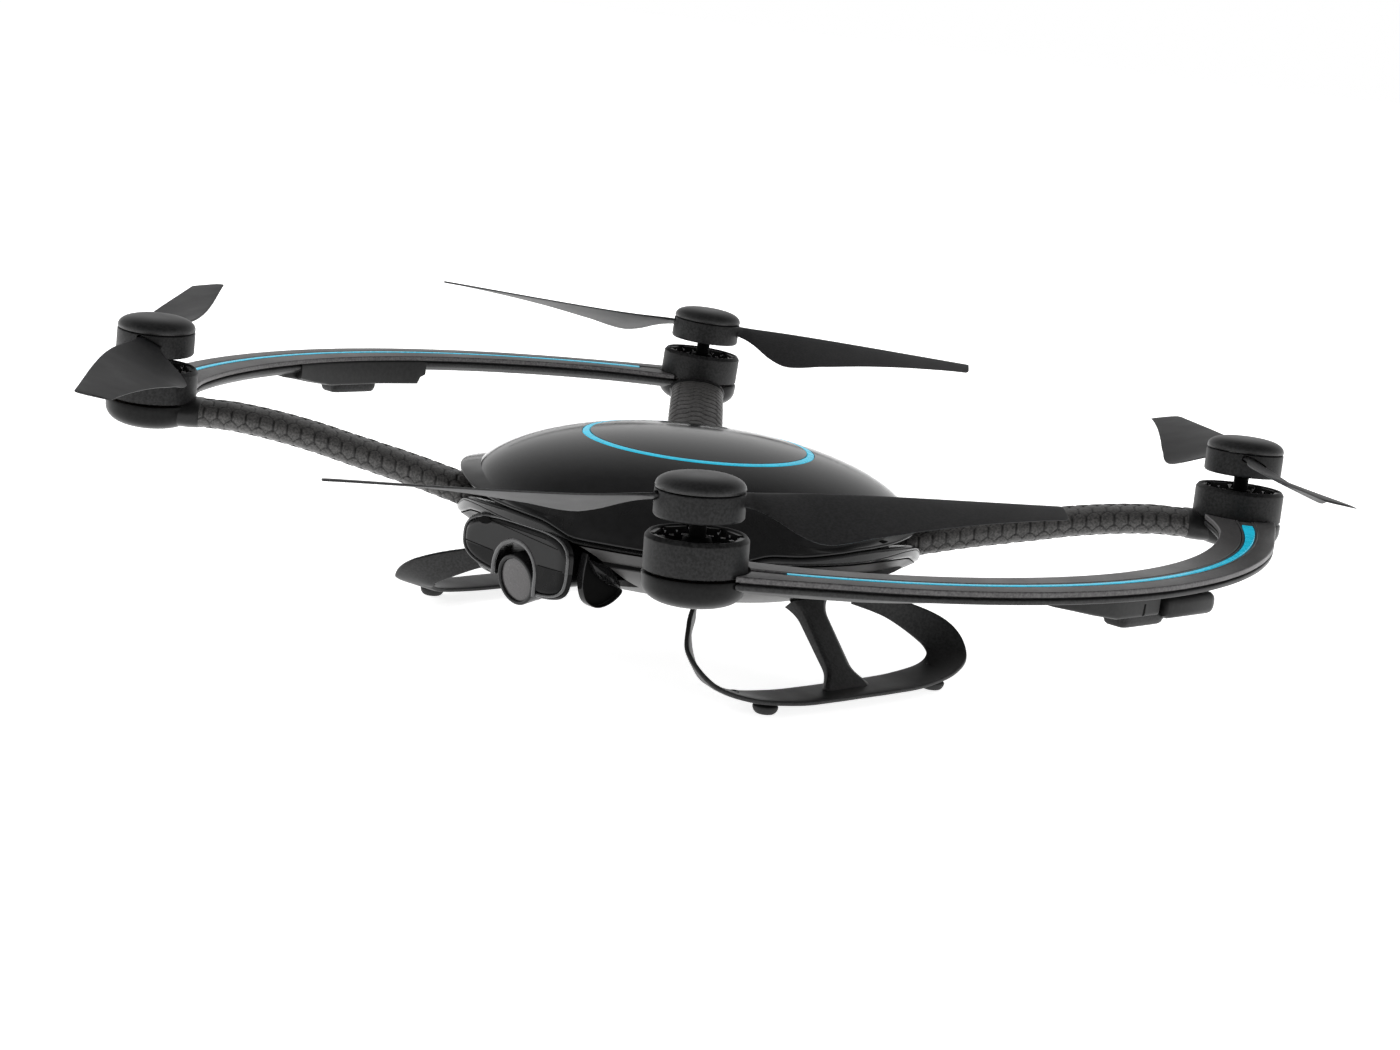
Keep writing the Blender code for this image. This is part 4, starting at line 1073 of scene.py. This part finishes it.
def blade_ring(signed_radius, spin, section):
    """Section of the two-blade bar, hung from its straight leading edge."""
    radius = abs(signed_radius)
    lead, chord, pitch, thickness = read_line(BLADE_STATIONS, radius)
    left = max(0.0, radius - (BLADE_TIP - TIP_ROUNDING)) / TIP_ROUNDING
    shrink = 1.0 - 0.35 * (1.0 - math.sqrt(max(0.0, 1.0 - left * left)))
    turn = math.radians(pitch)
    way = math.copysign(1.0, signed_radius) * spin
    ring = []
    for share, rise in section:
        behind = ((share - 0.5) * shrink - 0.12 * (1.0 - shrink)) * chord
        up = rise * thickness
        across = lead + behind * math.cos(turn) - up * math.sin(turn)
        height = LEAD_HEIGHT + behind * math.sin(turn) + up * math.cos(turn)
        ring.append((signed_radius, way * across, height))
    if way < 0:
        half = len(section) // 2
        ring = [ring[(half - index) % len(ring)] for index in range(len(ring))]
    return ring


def propeller_mesh(name, spin):
    """Both blades as one solid, turning clockwise or counterclockwise by spin."""
    section = aerofoil()
    radii = list(np.linspace(BLADE_ROOT, BLADE_TIP - TIP_ROUNDING, 44))
    radii += [BLADE_TIP - TIP_ROUNDING * share for share in (0.8, 0.6, 0.4, 0.25, 0.12, 0.04, 0.0)]
    blade = [blade_ring(radius, spin, section) for radius in radii]
    other = [blade_ring(-radius, spin, section) for radius in reversed(radii)]
    return tube_mesh(name, other + blade, sharp=50.0)


def window_mesh(way, spin):
    """Slot a little larger than a blade's root, through one side of the hub."""
    section = [(1.10 * share, 1.35 * rise + math.copysign(0.12, rise)) for share, rise in aerofoil()]
    radii = (14.5, 13.0, 11.5, 10.0)
    rings = [blade_ring(way * radius, spin, section) for radius in (radii if way < 0 else reversed(radii))]
    return tube_mesh("window", rings)


def build_motor(corner):
    """Cup, coils, bell, hub, cap and blades of one corner; those that spin ride on its rotor."""
    side, end = CORNERS[corner]
    spin = -side * end
    place, lean = motor_axis(corner)
    still = Matrix.Translation(place * MM) @ lean.to_matrix().to_4x4()
    turning = still @ Matrix.Rotation(math.radians(REST_TURN[corner]), 4, "Z")

    def fixed(kind, mesh, finish, nodes=()):
        return add_piece(kind + "_" + corner, mesh, finish, nodes, still)

    def spinning(kind, mesh, finish, nodes=()):
        return add_piece(kind + "_" + corner, mesh, finish, nodes, turning, "rotor_" + corner)

    fixed("cup_bowl", turned_mesh("cup_bowl", cup_profile()), BOWL, ["motor_cup_" + corner])
    fixed("windings", winding_mesh("windings"), COPPER, ["stator_" + corner])
    wall = turned_mesh("bell_wall", bell_wall_profile(), 128, closed=True)
    spinning("bell_wall", wall, GRAIN, ["motor_bell_" + corner])
    spinning("bell_web", bell_web_mesh("bell_web"), DARK)
    spinning("rim_lands", rim_notch_mesh("rim_lands"), SATIN)
    spinning("magnets", magnet_mesh("magnets"), MAGNET)
    shaft = turned_mesh("shaft_rod", shaft_profile(), 48)
    spinning("shaft_rod", shaft, DARK, ["motor_shaft_" + corner])
    hub = add_piece("hub_cup_" + corner, turned_mesh("hub_cup", hub_profile(), 128, closed=True), GRAIN,
                    ["propeller_hub_" + corner], body="rotor_" + corner)
    for way in (-1, 1):
        cut(hub, window_mesh(way, spin))
    hub.data.transform(turning)
    spinning("cap_dome", turned_mesh("cap_dome", cap_profile()), CAP, ["hub_cap_" + corner])
    spinning("blades", propeller_mesh("blades", spin), BLADE, ["propeller_" + corner])


# ---------------------------------------------------------------- camera

# half widths and lower edges of the brow towards the drone's left (+X) and right
NOSE_LEFT_WIDTH = 23.0
NOSE_RIGHT_WIDTH = 26.6
NOSE_LEFT_BOTTOM = -2.2
NOSE_RIGHT_BOTTOM = 0.6
NOSE_FRONT = -74.0
NOSE_BACK = -50.0
NOSE_TOP = 20.2
ARCH_HALF_WIDTH = 9.5
ARCH_MIDDLE = -0.7
ARCH_TOP = 13.5
CAMERA_AXIS = Vector((0.0, -64.0, 3.1))
CAMERA_RADIUS = 8.0
CAMERA_LENGTH = 10.0
LENS_RADIUS = CAMERA_RADIUS - 1.25
CAMERA_TILT = 10.0
LENS_CENTRE = Vector((-1.0, 1.4))


def nose_outline(inset, count=96):
    """Front view of the brow: its right end is longer and rounder, its left end squarer and deeper."""
    parts = []
    ends = ((NOSE_LEFT_WIDTH, NOSE_LEFT_BOTTOM, 3.8), (NOSE_RIGHT_WIDTH, NOSE_RIGHT_BOTTOM, 2.8))
    for half_width, low, power in ends:
        middle = (NOSE_TOP + low) / 2
        half = superellipse(half_width - inset, (NOSE_TOP - low) / 2 - inset, power, count)
        parts.append(half + np.array([0.0, middle]))
    outline = np.where(parts[0][:, :1] < 0.0, parts[1], parts[0])
    return [(x, z) for x, z in outline]


def arch_line(half, left_low, right_low):
    """Front view of a round-topped arch, from its left (+X) foot over to its right foot."""
    spring = ARCH_TOP - ARCH_HALF_WIDTH
    line = [(ARCH_MIDDLE + half, left_low)]
    for degrees in range(0, 181, 6):
        turn = math.radians(degrees)
        line.append((ARCH_MIDDLE + half * math.cos(turn), spring + half * math.sin(turn)))
    line.append((ARCH_MIDDLE - half, right_low))
    return line


def arch_mesh(grow, front, back):
    """Round-topped tunnel for the camera."""
    low = NOSE_LEFT_BOTTOM - 4.0
    arch = arch_line(ARCH_HALF_WIDTH + grow, low, low)
    return tube_mesh("arch", [[(x, y, z) for x, z in arch] for y in (front, back)])


# distance behind the brow's front face, and in from its outline
BROW_STEPS = [(2.6, 3.2), (2.4, 0.6), (2.0, 0.1), (1.6, 0.15), (0.9, 0.6), (1.2, 1.5), (0.7, 1.75),
              (0.2, 2.4), (0.0, 3.4), (0.0, 5.0)]


def build_brow():
    """Rounded slab over the camera with a step round its rim, on a narrower body."""
    steps = [(NOSE_BACK - NOSE_FRONT, 3.4)] + BROW_STEPS
    rings = [[(x, NOSE_FRONT + behind, z) for x, z in nose_outline(inset)] for behind, inset in steps]
    brow = add_piece("camera_brow", tube_mesh("camera_brow", rings), BROW, ["camera_housing"])
    cut(brow, arch_mesh(0.0, NOSE_FRONT - 3.0, CAMERA_AXIS.y + ARCH_HALF_WIDTH))
    build_arch_bead()
    build_rim_bead()


def build_arch_bead():
    """Raised bead round the mouth of the arch."""
    line = arch_line(ARCH_HALF_WIDTH, NOSE_LEFT_BOTTOM + 0.4, NOSE_RIGHT_BOTTOM + 0.4)
    path = [Vector(point) for point in line]
    rings = []
    for index, point in enumerate(path):
        along = (path[min(index + 1, len(path) - 1)] - path[max(index - 1, 0)]).normalized()
        normal = Vector((along.y, -along.x))
        rings.append([
            (point.x + normal.x * across, NOSE_FRONT + 0.1 + forward, point.y + normal.y * across)
            for across, forward in superellipse(0.75, 0.45, 2.2, 12)
        ])
    # painted highlight: the arch bead's light colour
    add_piece("arch_bead", tube_mesh("arch_bead", rings), BEAD_PAINTED_HIGHLIGHT)


def build_rim_bead():
    """Raised bead round the brow's face, broken where the arch comes down."""
    rings = []
    for outer, inner in zip(nose_outline(0.75, 200), nose_outline(1.75, 200)):
        middle = (Vector(outer) + Vector(inner)) / 2
        across = (Vector(outer) - Vector(inner)).normalized()
        rings.append([(middle.x + across.x * out, NOSE_FRONT + 0.95 + ahead, middle.y + across.y * out)
                      for out, ahead in superellipse(0.5, 0.75, 2.2, 12)])
    points = [point for ring in rings for point in ring]
    mesh = make_mesh("brow_bead", points, ring_faces(len(rings), 12, closed_rows=True))
    # painted highlight: the rim bead's light colour
    bead = add_piece("brow_bead", mesh, BEAD_PAINTED_HIGHLIGHT)
    cut(bead, arch_mesh(-0.3, NOSE_FRONT - 3.0, NOSE_FRONT + 4.0))


def face_line(name, start, end, width):
    """Dark seam set in the brow's face between two points of it."""
    points = []
    for x, z in (start, end):
        for y in (NOSE_FRONT - 0.04, NOSE_FRONT + 0.6):
            points += [(x, y, z - width / 2), (x, y, z + width / 2)]
    faces = [(0, 1, 3, 2), (4, 5, 7, 6), (0, 1, 5, 4), (2, 3, 7, 6), (0, 2, 6, 4), (1, 3, 7, 5)]
    add_piece(name, make_mesh(name, points, faces), DARK)


def build_brow_details():
    """Seam across the brow, a wedge-shaped inset panel line and a small oval sensor."""
    left = ARCH_MIDDLE + ARCH_HALF_WIDTH + 0.8
    right = ARCH_MIDDLE - ARCH_HALF_WIDTH - 0.8
    face_line("brow_seam_left", (left, SEAM_HEIGHT), (NOSE_LEFT_WIDTH - 2.6, SEAM_HEIGHT + 0.3), 0.34)
    face_line("brow_seam_right", (right, SEAM_HEIGHT), (2.8 - NOSE_RIGHT_WIDTH, SEAM_HEIGHT + 0.6), 0.34)
    face_line("brow_wedge_upper", (-13.6, 17.4), (12.0, 16.9), 0.22)
    face_line("brow_wedge_lower", (-13.6, 17.3), (17.6, 14.9), 0.26)
    rings = []
    for y, share in ((NOSE_FRONT - 0.05, 0.8), (NOSE_FRONT - 0.02, 1.0), (NOSE_FRONT + 0.9, 1.0)):
        oval = superellipse(2.8 * share, 1.15 * share, 2.0, 24)
        rings.append([(-16.0 + x, y, 16.7 + z + 0.12 * x) for x, z in oval])
    add_piece("brow_sensor", tube_mesh("brow_sensor", rings), DARK)


def barrel_profile():
    """Round back, a fine groove round the middle and a rim round the lens."""
    profile = [(0.0, -CAMERA_RADIUS)]
    for degrees in range(-84, 1, 6):
        turn = math.radians(degrees)
        profile.append((CAMERA_RADIUS * math.cos(turn), CAMERA_RADIUS * math.sin(turn)))
    profile += [(CAMERA_RADIUS, 4.0), (CAMERA_RADIUS - 0.25, 4.2), (CAMERA_RADIUS - 0.25, 4.6),
                (CAMERA_RADIUS, 4.8)]
    seat = CAMERA_LENGTH - 1.3
    rim = [(CAMERA_RADIUS, 0.0), (CAMERA_RADIUS, CAMERA_LENGTH), (LENS_RADIUS, CAMERA_LENGTH),
           (LENS_RADIUS, seat)]
    return profile + rounded(rim, 0.5, 4)[1:] + [(0.0, seat)]


def lens_mesh():
    """Slightly domed disc with faint raised rings, which also carry its ring attribute."""
    radii = np.linspace(0.0, LENS_RADIUS - 0.15, 60)
    disc = []
    for radius in radii:
        ripple = 0.02 * max(0.0, math.sin(2.2 * radius)) ** 6
        disc.append((radius, CAMERA_LENGTH - 0.45 - 0.25 * (radius / LENS_RADIUS) ** 2 - ripple))
    back = CAMERA_LENGTH - 1.2
    mesh = turned_mesh("lens_disc", disc + [(LENS_RADIUS - 0.15, back), (0.0, back)])
    ring = []
    for vertex in mesh.vertices:
        flat = vertex.co.xy / MM
        near = (flat - LENS_CENTRE).length
        if near < 3.4:
            ring.append(0.5 + 0.3 * math.cos(2.9 * near))
        else:
            ring.append(0.3 + 0.4 * smooth((flat.length - 5.2) / 1.5))
    mesh.attributes.new("ring", "FLOAT", "POINT").data.foreach_set("value", np.array(ring, dtype=np.float32))
    return mesh


def build_camera():
    """Barrel and lens, which tilt with the camera, and the pin that they tilt about."""
    place = Matrix.Translation(CAMERA_AXIS * MM)
    forward = place @ Matrix.Rotation(math.radians(90.0 + CAMERA_TILT), 4, "X")
    barrel = turned_mesh("barrel", barrel_profile())
    add_piece("barrel", barrel, GLOSS, ["camera_barrel"], forward, "camera")
    add_piece("lens_disc", lens_mesh(), LENS, ["camera_lens"], forward, "camera")
    pin = turned_mesh("tilt_pin", [(0.0, -9.3), (1.5, -9.3), (1.5, 9.3), (0.0, 9.3)], 32)
    sideways = place @ Matrix.Rotation(math.radians(90.0), 4, "Y")
    add_piece("tilt_pin", pin, STEEL, ["camera_pin"], sideways)


# side views as y, z
CHEEK_OUTLINE = [(-68.2, 14.9), (-69.0, 10.0), (-68.8, 4.6), (-66.5, -0.2), (-61.5, -2.6), (-55.5, -1.4),
                 (-51.5, 2.2), (-57.5, 4.8), (-63.5, 8.8)]
LEAF_OUTLINE = [(-67.4, 13.0), (-64.0, 9.0), (-58.0, 4.8), (-51.5, 2.0), (-51.9, 4.8), (-56.0, 9.0),
                (-61.5, 11.6)]
# distance from the middle, and how far the outline has shrunk there
SCOOP_STEPS = [(22.0, 0.94), (22.3, 1.0), (24.2, 1.0), (24.7, 0.985), (24.7, 0.95), (23.4, 0.91),
               (22.9, 0.6), (22.9, 0.2)]
SHADE_LINING_STEPS = [(22.4, 0.9), (23.45, 0.9), (23.5, 0.8)]
LEAF_STEPS = [(21.8, 0.9), (22.1, 1.0), (23.0, 1.0), (23.4, 0.9), (23.5, 0.5)]


def closed_curve(corners, steps):
    """Smooth curve through corners and back to the first one, which stays a point."""
    loop = corners + [corners[0]]
    return [tuple(catmull(loop, index, step / steps))
            for index in range(len(corners)) for step in range(steps)]


def fin_mesh(name, side, corners, steps):
    """Upright fin that shrinks towards the middle of its outline from step to step."""
    outline = np.array(closed_curve(corners, 6))
    middle = outline.mean(axis=0)
    rings = [[(side * x, y, z) for y, z in middle + (outline - middle) * shrink] for x, shrink in steps]
    return tube_mesh(name, rings)


def build_cheek(side_name):
    """Dished scoop beside the camera, with a dark sheet of painted shade in its gap and a leaf over its
    upper edge.
    """
    side = SIDES[side_name]
    nodes = ["camera_cheek_" + side_name]
    for name, corners, steps, finish, slot, stands_for in (
            ("cheek_scoop_", CHEEK_OUTLINE, SCOOP_STEPS, GLOSS, "gloss_black", nodes),
            # painted shade: the dark lining stands in for the shade in the gap beside the camera
            ("cheek_shade_lining_", CHEEK_OUTLINE, SHADE_LINING_STEPS, DARK, "satin_black", []),
            ("cheek_leaf_", LEAF_OUTLINE, LEAF_STEPS, GLOSS, "gloss_black", [])):
        add_piece(name + side_name, fin_mesh(name, side, corners, steps), finish, stands_for)


# ---------------------------------------------------------------- pods

POD_STATIONS = [
    (-35.5, 168.6, 175.5, 32.0),
    (-29.5, 169.0, 178.6, 30.9),
    (-22.5, 170.0, 180.3, 29.5),
    (-17.0, 170.8, 181.3, 28.6),
    (-14.0, 171.0, 181.9, 28.1),
    (-5.5, 171.0, 182.0, 28.0),
    (4.6, 171.0, 182.0, 28.0),
    (5.4, 171.0, 181.0, 28.0),
    (5.7, 171.0, 178.5, 28.1),
    (27.0, 171.0, 177.8, 28.0),
    (27.5, 171.0, 177.7, 28.6),
    (27.9, 170.8, 177.6, 30.2),
    (30.6, 170.2, 177.2, 31.4),
]
POD_TOP = 35.2
# height and inset of the foot's outline
POD_FOOT_STEPS = [(24.8, 1.6), (24.9, 1.0), (25.4, 0.5), (26.6, 0.1), (28.4, 0.0)]
# share of the full section, and y
CAPSULE_STEPS = [(0.35, 6.6), (0.8, 7.0), (1.0, 8.0), (1.0, 26.8), (0.93, 28.2), (0.75, 29.2), (0.4, 29.6)]
POD_SLOT = [(-0.5, -1.9), (0.5, -1.9), (0.7, 1.9), (-0.2, 1.9)]


def pod_block_mesh(name, side):
    """Block under the bow that slopes up at the front."""
    rings = []
    for y, inner, outer, bottom in POD_STATIONS:
        middle = (inner + outer) / 2
        corners = [(middle, POD_TOP), (outer, POD_TOP), (outer, bottom), (inner, bottom), (inner, POD_TOP),
                   (middle, POD_TOP)]
        section = rounded(corners, 1.3 if bottom < 31.0 else 0.3, 5)[:-1]
        rings.append([(side * x, y, z) for x, z in section])
    return tube_mesh(name, rings)


def pod_foot_mesh(name, side):
    """Rounded foot below the block."""
    rings = []
    for z, inset in POD_FOOT_STEPS:
        plan = superellipse(4.35 - inset, 10.0 - inset, 7.0, 56)
        rings.append([(side * (176.65 + x), 0.3 + y, z) for x, y in plan])
    return tube_mesh(name, rings)


def capsule_mesh(name, side):
    """Antenna capsule that lies along the outer face of the block."""
    rings = []
    for share, y in CAPSULE_STEPS:
        section = superellipse(2.95 * share, 3.3 * share, 3.0, 40)
        rings.append([(side * (181.2 + x), y, 30.2 + z) for x, z in section])
    return tube_mesh(name, rings)


def pod_slot_mesh(name, side):
    """Small dark patch on the outer face of the block: painted shade for the inside of a slot."""
    rings = []
    for x, shrink in ((181.75, 1.0), (182.06, 0.8)):
        rings.append([(side * x, -2.6 + y * shrink, 30.3 + z * shrink) for y, z in POD_SLOT])
    return tube_mesh(name, rings)


def build_pod(side_name):
    """Block, foot, antenna capsule and slot under a bow."""
    for kind, make, finish, stands_for in (
            ("pod_block_", pod_block_mesh, SATIN, ["side_pod_" + side_name]),
            ("pod_foot_", pod_foot_mesh, GRAIN, []),
            ("antenna_capsule_", capsule_mesh, SATIN, ["antenna_" + side_name]),
            # painted shade: the dark slot stands in for the shade inside it
            ("pod_slot_", pod_slot_mesh, DARK, [])):
        name = kind + side_name
        add_piece(name, make(name, SIDES[side_name]), finish, stands_for)


def share_at(y):
    """Share along the bow where its middle line passes y."""
    low, high = -1.0, 1.0
    for _ in range(40):
        middle = (low + high) / 2
        if bow_frame(middle)[0].y < y:
            low = middle
        else:
            high = middle
    return (low + high) / 2


def build_pod_wall(side_name):
    """Inner face of the pod, which follows the bow and hides its keel."""
    bottoms = [(y, bottom) for y, _, _, bottom in POD_STATIONS]
    top = BOW_TOP - BOW_PLATE - 0.1
    rings = []
    for y in np.linspace(-31.0, 30.0, 62):
        share = share_at(y)
        inner = bow_edges(share)[0] - 0.4
        bottom = read_line(bottoms, y)[0] + 0.2
        outline = [(inner + 2.0, top), (inner + 4.5, top), (inner + 4.5, bottom), (inner, bottom),
                   (inner, top), (inner + 2.0, top)]
        rings.append(bow_ring(SIDES[side_name], share, rounded(outline, 0.9, 4)[:-1]))
    name = "pod_wall_" + side_name
    add_piece(name, tube_mesh(name, rings), SATIN)


# ---------------------------------------------------------------- landing legs

# rear half: x, y, z, width and twist of the ribbon
LEG_STATIONS = [
    (41.6, 37.0, -1.8, 6.2, -90.0),
    (50.1, 47.0, -5.2, 7.4, -84.0),
    (61.4, 55.5, -11.1, 11.6, -54.0),
    (68.9, 53.8, -16.2, 13.0, -12.0),
    (72.8, 44.5, -19.4, 14.2, -3.0),
    (74.9, 28.2, -20.9, 15.2, 0.0),
    (75.5, 13.0, -21.1, 15.4, 0.0),
    (75.5, 0.0, -21.1, 15.4, 0.0),
]
LEG_THICKNESS = 1.7
LEG_STEPS = 14
FOOT_PLACE = (76.8, 38.5)
FOOT_RADIUS = 4.0
FOOT_BOTTOM = -24.1
SCREW_PLACE = (70.0, 45.5)
SCREW_TOP = -18.15
STRUT_TOP = Vector((54.6, 0.0, 1.8))
STRUT_FOOT = Vector((75.5, 0.0, -21.1))


def leg_rows():
    """Stations of the whole leg, front half mirrored from the rear, with smooth steps between."""
    front = [(x, -y, z, width, twist) for x, y, z, width, twist in reversed(LEG_STATIONS[:-1])]
    stations = LEG_STATIONS + front
    rows = []
    for index in range(len(stations) - 1):
        rows += [catmull(stations, index, step / LEG_STEPS) for step in range(LEG_STEPS)]
    rows.append(list(stations[-1]))
    return rows


def leg_ring(side, rows, index):
    """Flat section of the ribbon, square to its line and turned by its twist."""
    x, y, z, width, twist = rows[index]
    before = Vector(rows[max(index - 1, 0)][:3])
    after = Vector(rows[min(index + 1, len(rows) - 1)][:3])
    along = (after - before).normalized()
    level = along.cross(Vector((0.0, 0.0, 1.0))).normalized()
    upright = level.cross(along).normalized()
    turn = math.radians(twist)
    wide = level * math.cos(turn) + upright * math.sin(turn)
    thick = along.cross(wide).normalized()
    centre = Vector((x, y, z))
    section = superellipse(width / 2, LEG_THICKNESS / 2, 5.0, 36)
    points = [centre + wide * across + thick * up for across, up in section]
    return [(side * point.x, point.y, point.z) for point in points]


def build_leg(side_name):
    """Ribbon that runs down, along and up again, with its brace and two screws."""
    side = SIDES[side_name]
    rows = leg_rows()
    name = "leg_ribbon_" + side_name
    mesh = tube_mesh(name, [leg_ring(side, rows, index) for index in range(len(rows))], sharp=50.0)
    add_piece(name, mesh, LEG, ["leg_" + side_name])
    build_strut(side_name)
    for end_name, end in (("front", -1), ("rear", 1)):
        build_screw("leg_screw_" + side_name + "_" + end_name, side * SCREW_PLACE[0], end * SCREW_PLACE[1])


def strut_ring(side, share, section):
    """Section across the brace, at a share of the way from its top to its foot."""
    along = STRUT_FOOT - STRUT_TOP
    normal = Vector((-along.z, 0.0, along.x)).normalized()
    centre = STRUT_TOP + along * share
    points = [centre + Vector((0.0, across, 0.0)) + normal * up for across, up in section]
    return [(side * point.x, point.y, point.z) for point in points]


def strut_section(share):
    """Flat section that widens at both ends, with one bevelled edge."""
    flare = 4.8 * smooth((share - 0.70) / 0.30) ** 1.5 + 3.2 * max(0.0, 1.0 - share / 0.2) ** 2
    width = 5.7 + flare
    thick = 2.0 - 0.8 * share
    outline = [(0.0, thick), (width - 2.6, thick), (width, 0.1), (width, -thick), (-width, -thick),
               (-width, thick - 0.6), (-width + 1.2, thick), (0.0, thick)]
    return rounded(outline, 0.35, 2)[:-1]


def build_strut(side_name):
    """Brace from the belly down to the strip, and the collar at its top."""
    side = SIDES[side_name]
    collar = [strut_ring(side, share, superellipse(5.2 + grow, 2.2 + grow, 5.0, 40))
              for share, grow in ((-0.09, 0.4), (-0.01, 0.4), (0.0, 0.0))]
    brace = [strut_ring(side, share, strut_section(share)) for share in np.linspace(0.0, 1.0, 34)]
    for name, rings, finish in (("strut_collar_", collar, DARK), ("leg_strut_", brace, LEG)):
        add_piece(name + side_name, tube_mesh(name + side_name, rings, sharp=30.0), finish)


def build_screw(name, x, y):
    """Round screw head sunk in the strip of a leg."""
    profile = [(0.0, -0.35), (0.55, -0.35), (0.7, -0.1), (1.35, -0.05), (1.6, -0.3), (1.6, -1.2),
               (0.0, -1.2)]
    place = Matrix.Translation(Vector((x, y, SCREW_TOP)) * MM)
    add_piece(name, turned_mesh(name, profile, 32), SATIN, place=place)


def build_foot(corner):
    """Rubber pad under a corner of a leg."""
    side, end = CORNERS[corner]
    top = LEG_STATIONS[-1][2] - LEG_THICKNESS / 2 + 0.5
    outline = [(0.0, FOOT_BOTTOM), (FOOT_RADIUS - 1.2, FOOT_BOTTOM), (FOOT_RADIUS - 0.2, FOOT_BOTTOM + 1.2),
               (FOOT_RADIUS, top), (0.0, top)]
    mesh = turned_mesh("foot_pad", rounded(outline, 0.7, 4), 48)
    place = Matrix.Translation(Vector((side * FOOT_PLACE[0], end * FOOT_PLACE[1], 0.0)) * MM)
    add_piece("foot_pad_" + corner, mesh, RUBBER, ["foot_" + corner], place)


# ---------------------------------------------------------------- stage

# degrees round, above and about the line of sight, and metres
VIEW_AZIMUTH = 43.46
VIEW_ELEVATION = 11.05
VIEW_ROLL = 6.71
VIEW_PLACE = Vector((0.67888, -0.71121, 0.20672))
FLOOR_RADIUS = 6000.0
FLOOR_THICKNESS = 20.0
WHITE = (1.0, 1.0, 1.0, 1.0)


def look_camera():
    """Long lens in front and to the right of the drone, a little above it and rolled."""
    azimuth = math.radians(VIEW_AZIMUTH)
    elevation = math.radians(VIEW_ELEVATION)
    roll = math.radians(VIEW_ROLL)
    level = math.cos(elevation)
    back = Vector((math.sin(azimuth) * level, -math.cos(azimuth) * level, math.sin(elevation)))
    right = Vector((math.cos(azimuth), math.sin(azimuth), 0.0))
    up = back.cross(right)
    across = right * math.cos(roll) + up * math.sin(roll)
    upward = up * math.cos(roll) - right * math.sin(roll)
    data = bpy.data.cameras.new("camera")
    data.lens = 80.0
    data.sensor_width = 36.0
    data.clip_start = 0.01
    data.clip_end = 50.0
    camera = bpy.data.objects.new("camera", data)
    bpy.context.collection.objects.link(camera)
    turn = Matrix((across, upward, back)).transposed().to_4x4()
    camera.matrix_world = Matrix.Translation(VIEW_PLACE) @ turn
    bpy.context.scene.camera = camera


def area_light(name, place, target, size, power):
    """Rectangular lamp that lights the drone but isn't mirrored in it."""
    data = bpy.data.lights.new(name, "AREA")
    data.shape = "RECTANGLE"
    data.size, data.size_y = size
    data.energy = power
    lamp = bpy.data.objects.new(name, data)
    bpy.context.collection.objects.link(lamp)
    lamp.location = place
    lamp.visible_glossy = False
    lamp.rotation_euler = (Vector(target) - Vector(place)).to_track_quat("-Z", "Y").to_euler()


def build_floor():
    """Wide pale floor under the feet, bright enough to read as white."""
    made = Nodes("studio_floor")
    cloud = made.noise(3.0, 2.0)
    shade = made.tint(made.span(cloud, 0.0, 1.0), grey(0.88), grey(0.91))
    made.set(Base_Color=shade, Roughness=0.9, Specular_IOR_Level=0.1, Emission_Color=WHITE,
             Emission_Strength=0.80)
    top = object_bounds()[0].z / MM
    bottom = top - FLOOR_THICKNESS
    profile = [(0.0, top), (FLOOR_RADIUS, top), (FLOOR_RADIUS, bottom), (0.0, bottom)]
    floor = turned_mesh("studio_floor", profile, 64)
    stage = bpy.data.objects.new("studio_floor", floor)
    bpy.context.collection.objects.link(stage)
    floor.materials.append(made.material)


def build_world():
    """Sky that darkens upward in reflections and is plain white to the camera."""
    world = bpy.data.worlds.new("studio")
    bpy.context.scene.world = world
    world.use_nodes = True
    tree = world.node_tree
    back = tree.nodes["Background"]
    where = tree.nodes.new("ShaderNodeTexCoord")
    split = tree.nodes.new("ShaderNodeSeparateXYZ")
    ramp = tree.nodes.new("ShaderNodeValToRGB")
    tree.links.new(where.outputs["Generated"], split.inputs["Vector"])
    tree.links.new(split.outputs["Z"], ramp.inputs["Fac"])
    tree.links.new(ramp.outputs["Color"], back.inputs["Color"])
    stops = ramp.color_ramp.elements
    stops[0].position = 0.0
    stops[0].color = WHITE
    stops[1].position = 0.75
    stops[1].color = (0.13, 0.13, 0.13, 1.0)
    stops.new(0.28).color = (0.60, 0.60, 0.60, 1.0)
    back.inputs["Strength"].default_value = 1.0
    plain = tree.nodes.new("ShaderNodeBackground")
    plain.inputs["Color"].default_value = WHITE
    ray = tree.nodes.new("ShaderNodeLightPath")
    blend = tree.nodes.new("ShaderNodeMixShader")
    tree.links.new(ray.outputs["Is Camera Ray"], blend.inputs[0])
    tree.links.new(back.outputs["Background"], blend.inputs[1])
    tree.links.new(plain.outputs["Background"], blend.inputs[2])
    tree.links.new(blend.outputs["Shader"], tree.nodes["World Output"].inputs["Surface"])


def build_stage():
    """Floor, sky and three lamps."""
    build_floor()
    build_world()
    area_light("key", (-1.5, -0.7, 0.9), (0.0, 0.0, 0.0), (1.2, 0.9), 26.0)
    area_light("rim", (-0.4, 1.7, 0.8), (0.0, 0.0, 0.02), (1.8, 0.7), 13.0)
    area_light("side", (1.7, 0.5, 0.6), (0.1, 0.0, 0.0), (1.2, 0.8), 5.0)
    bpy.context.scene.view_settings.view_transform = "Standard"


# ---------------------------------------------------------------- assembly

build_dome()
build_vents()
build_lower_body()
for corner in CORNERS:
    build_arm(corner)
    build_arm_collar(corner)
    build_motor(corner)
    build_foot(corner)
for side_name in SIDES:
    build_bow(side_name)
    build_pod(side_name)
    build_pod_wall(side_name)
    build_cheek(side_name)
    build_leg(side_name)
build_brow()
build_brow_details()
build_camera()
look_camera()
build_stage()
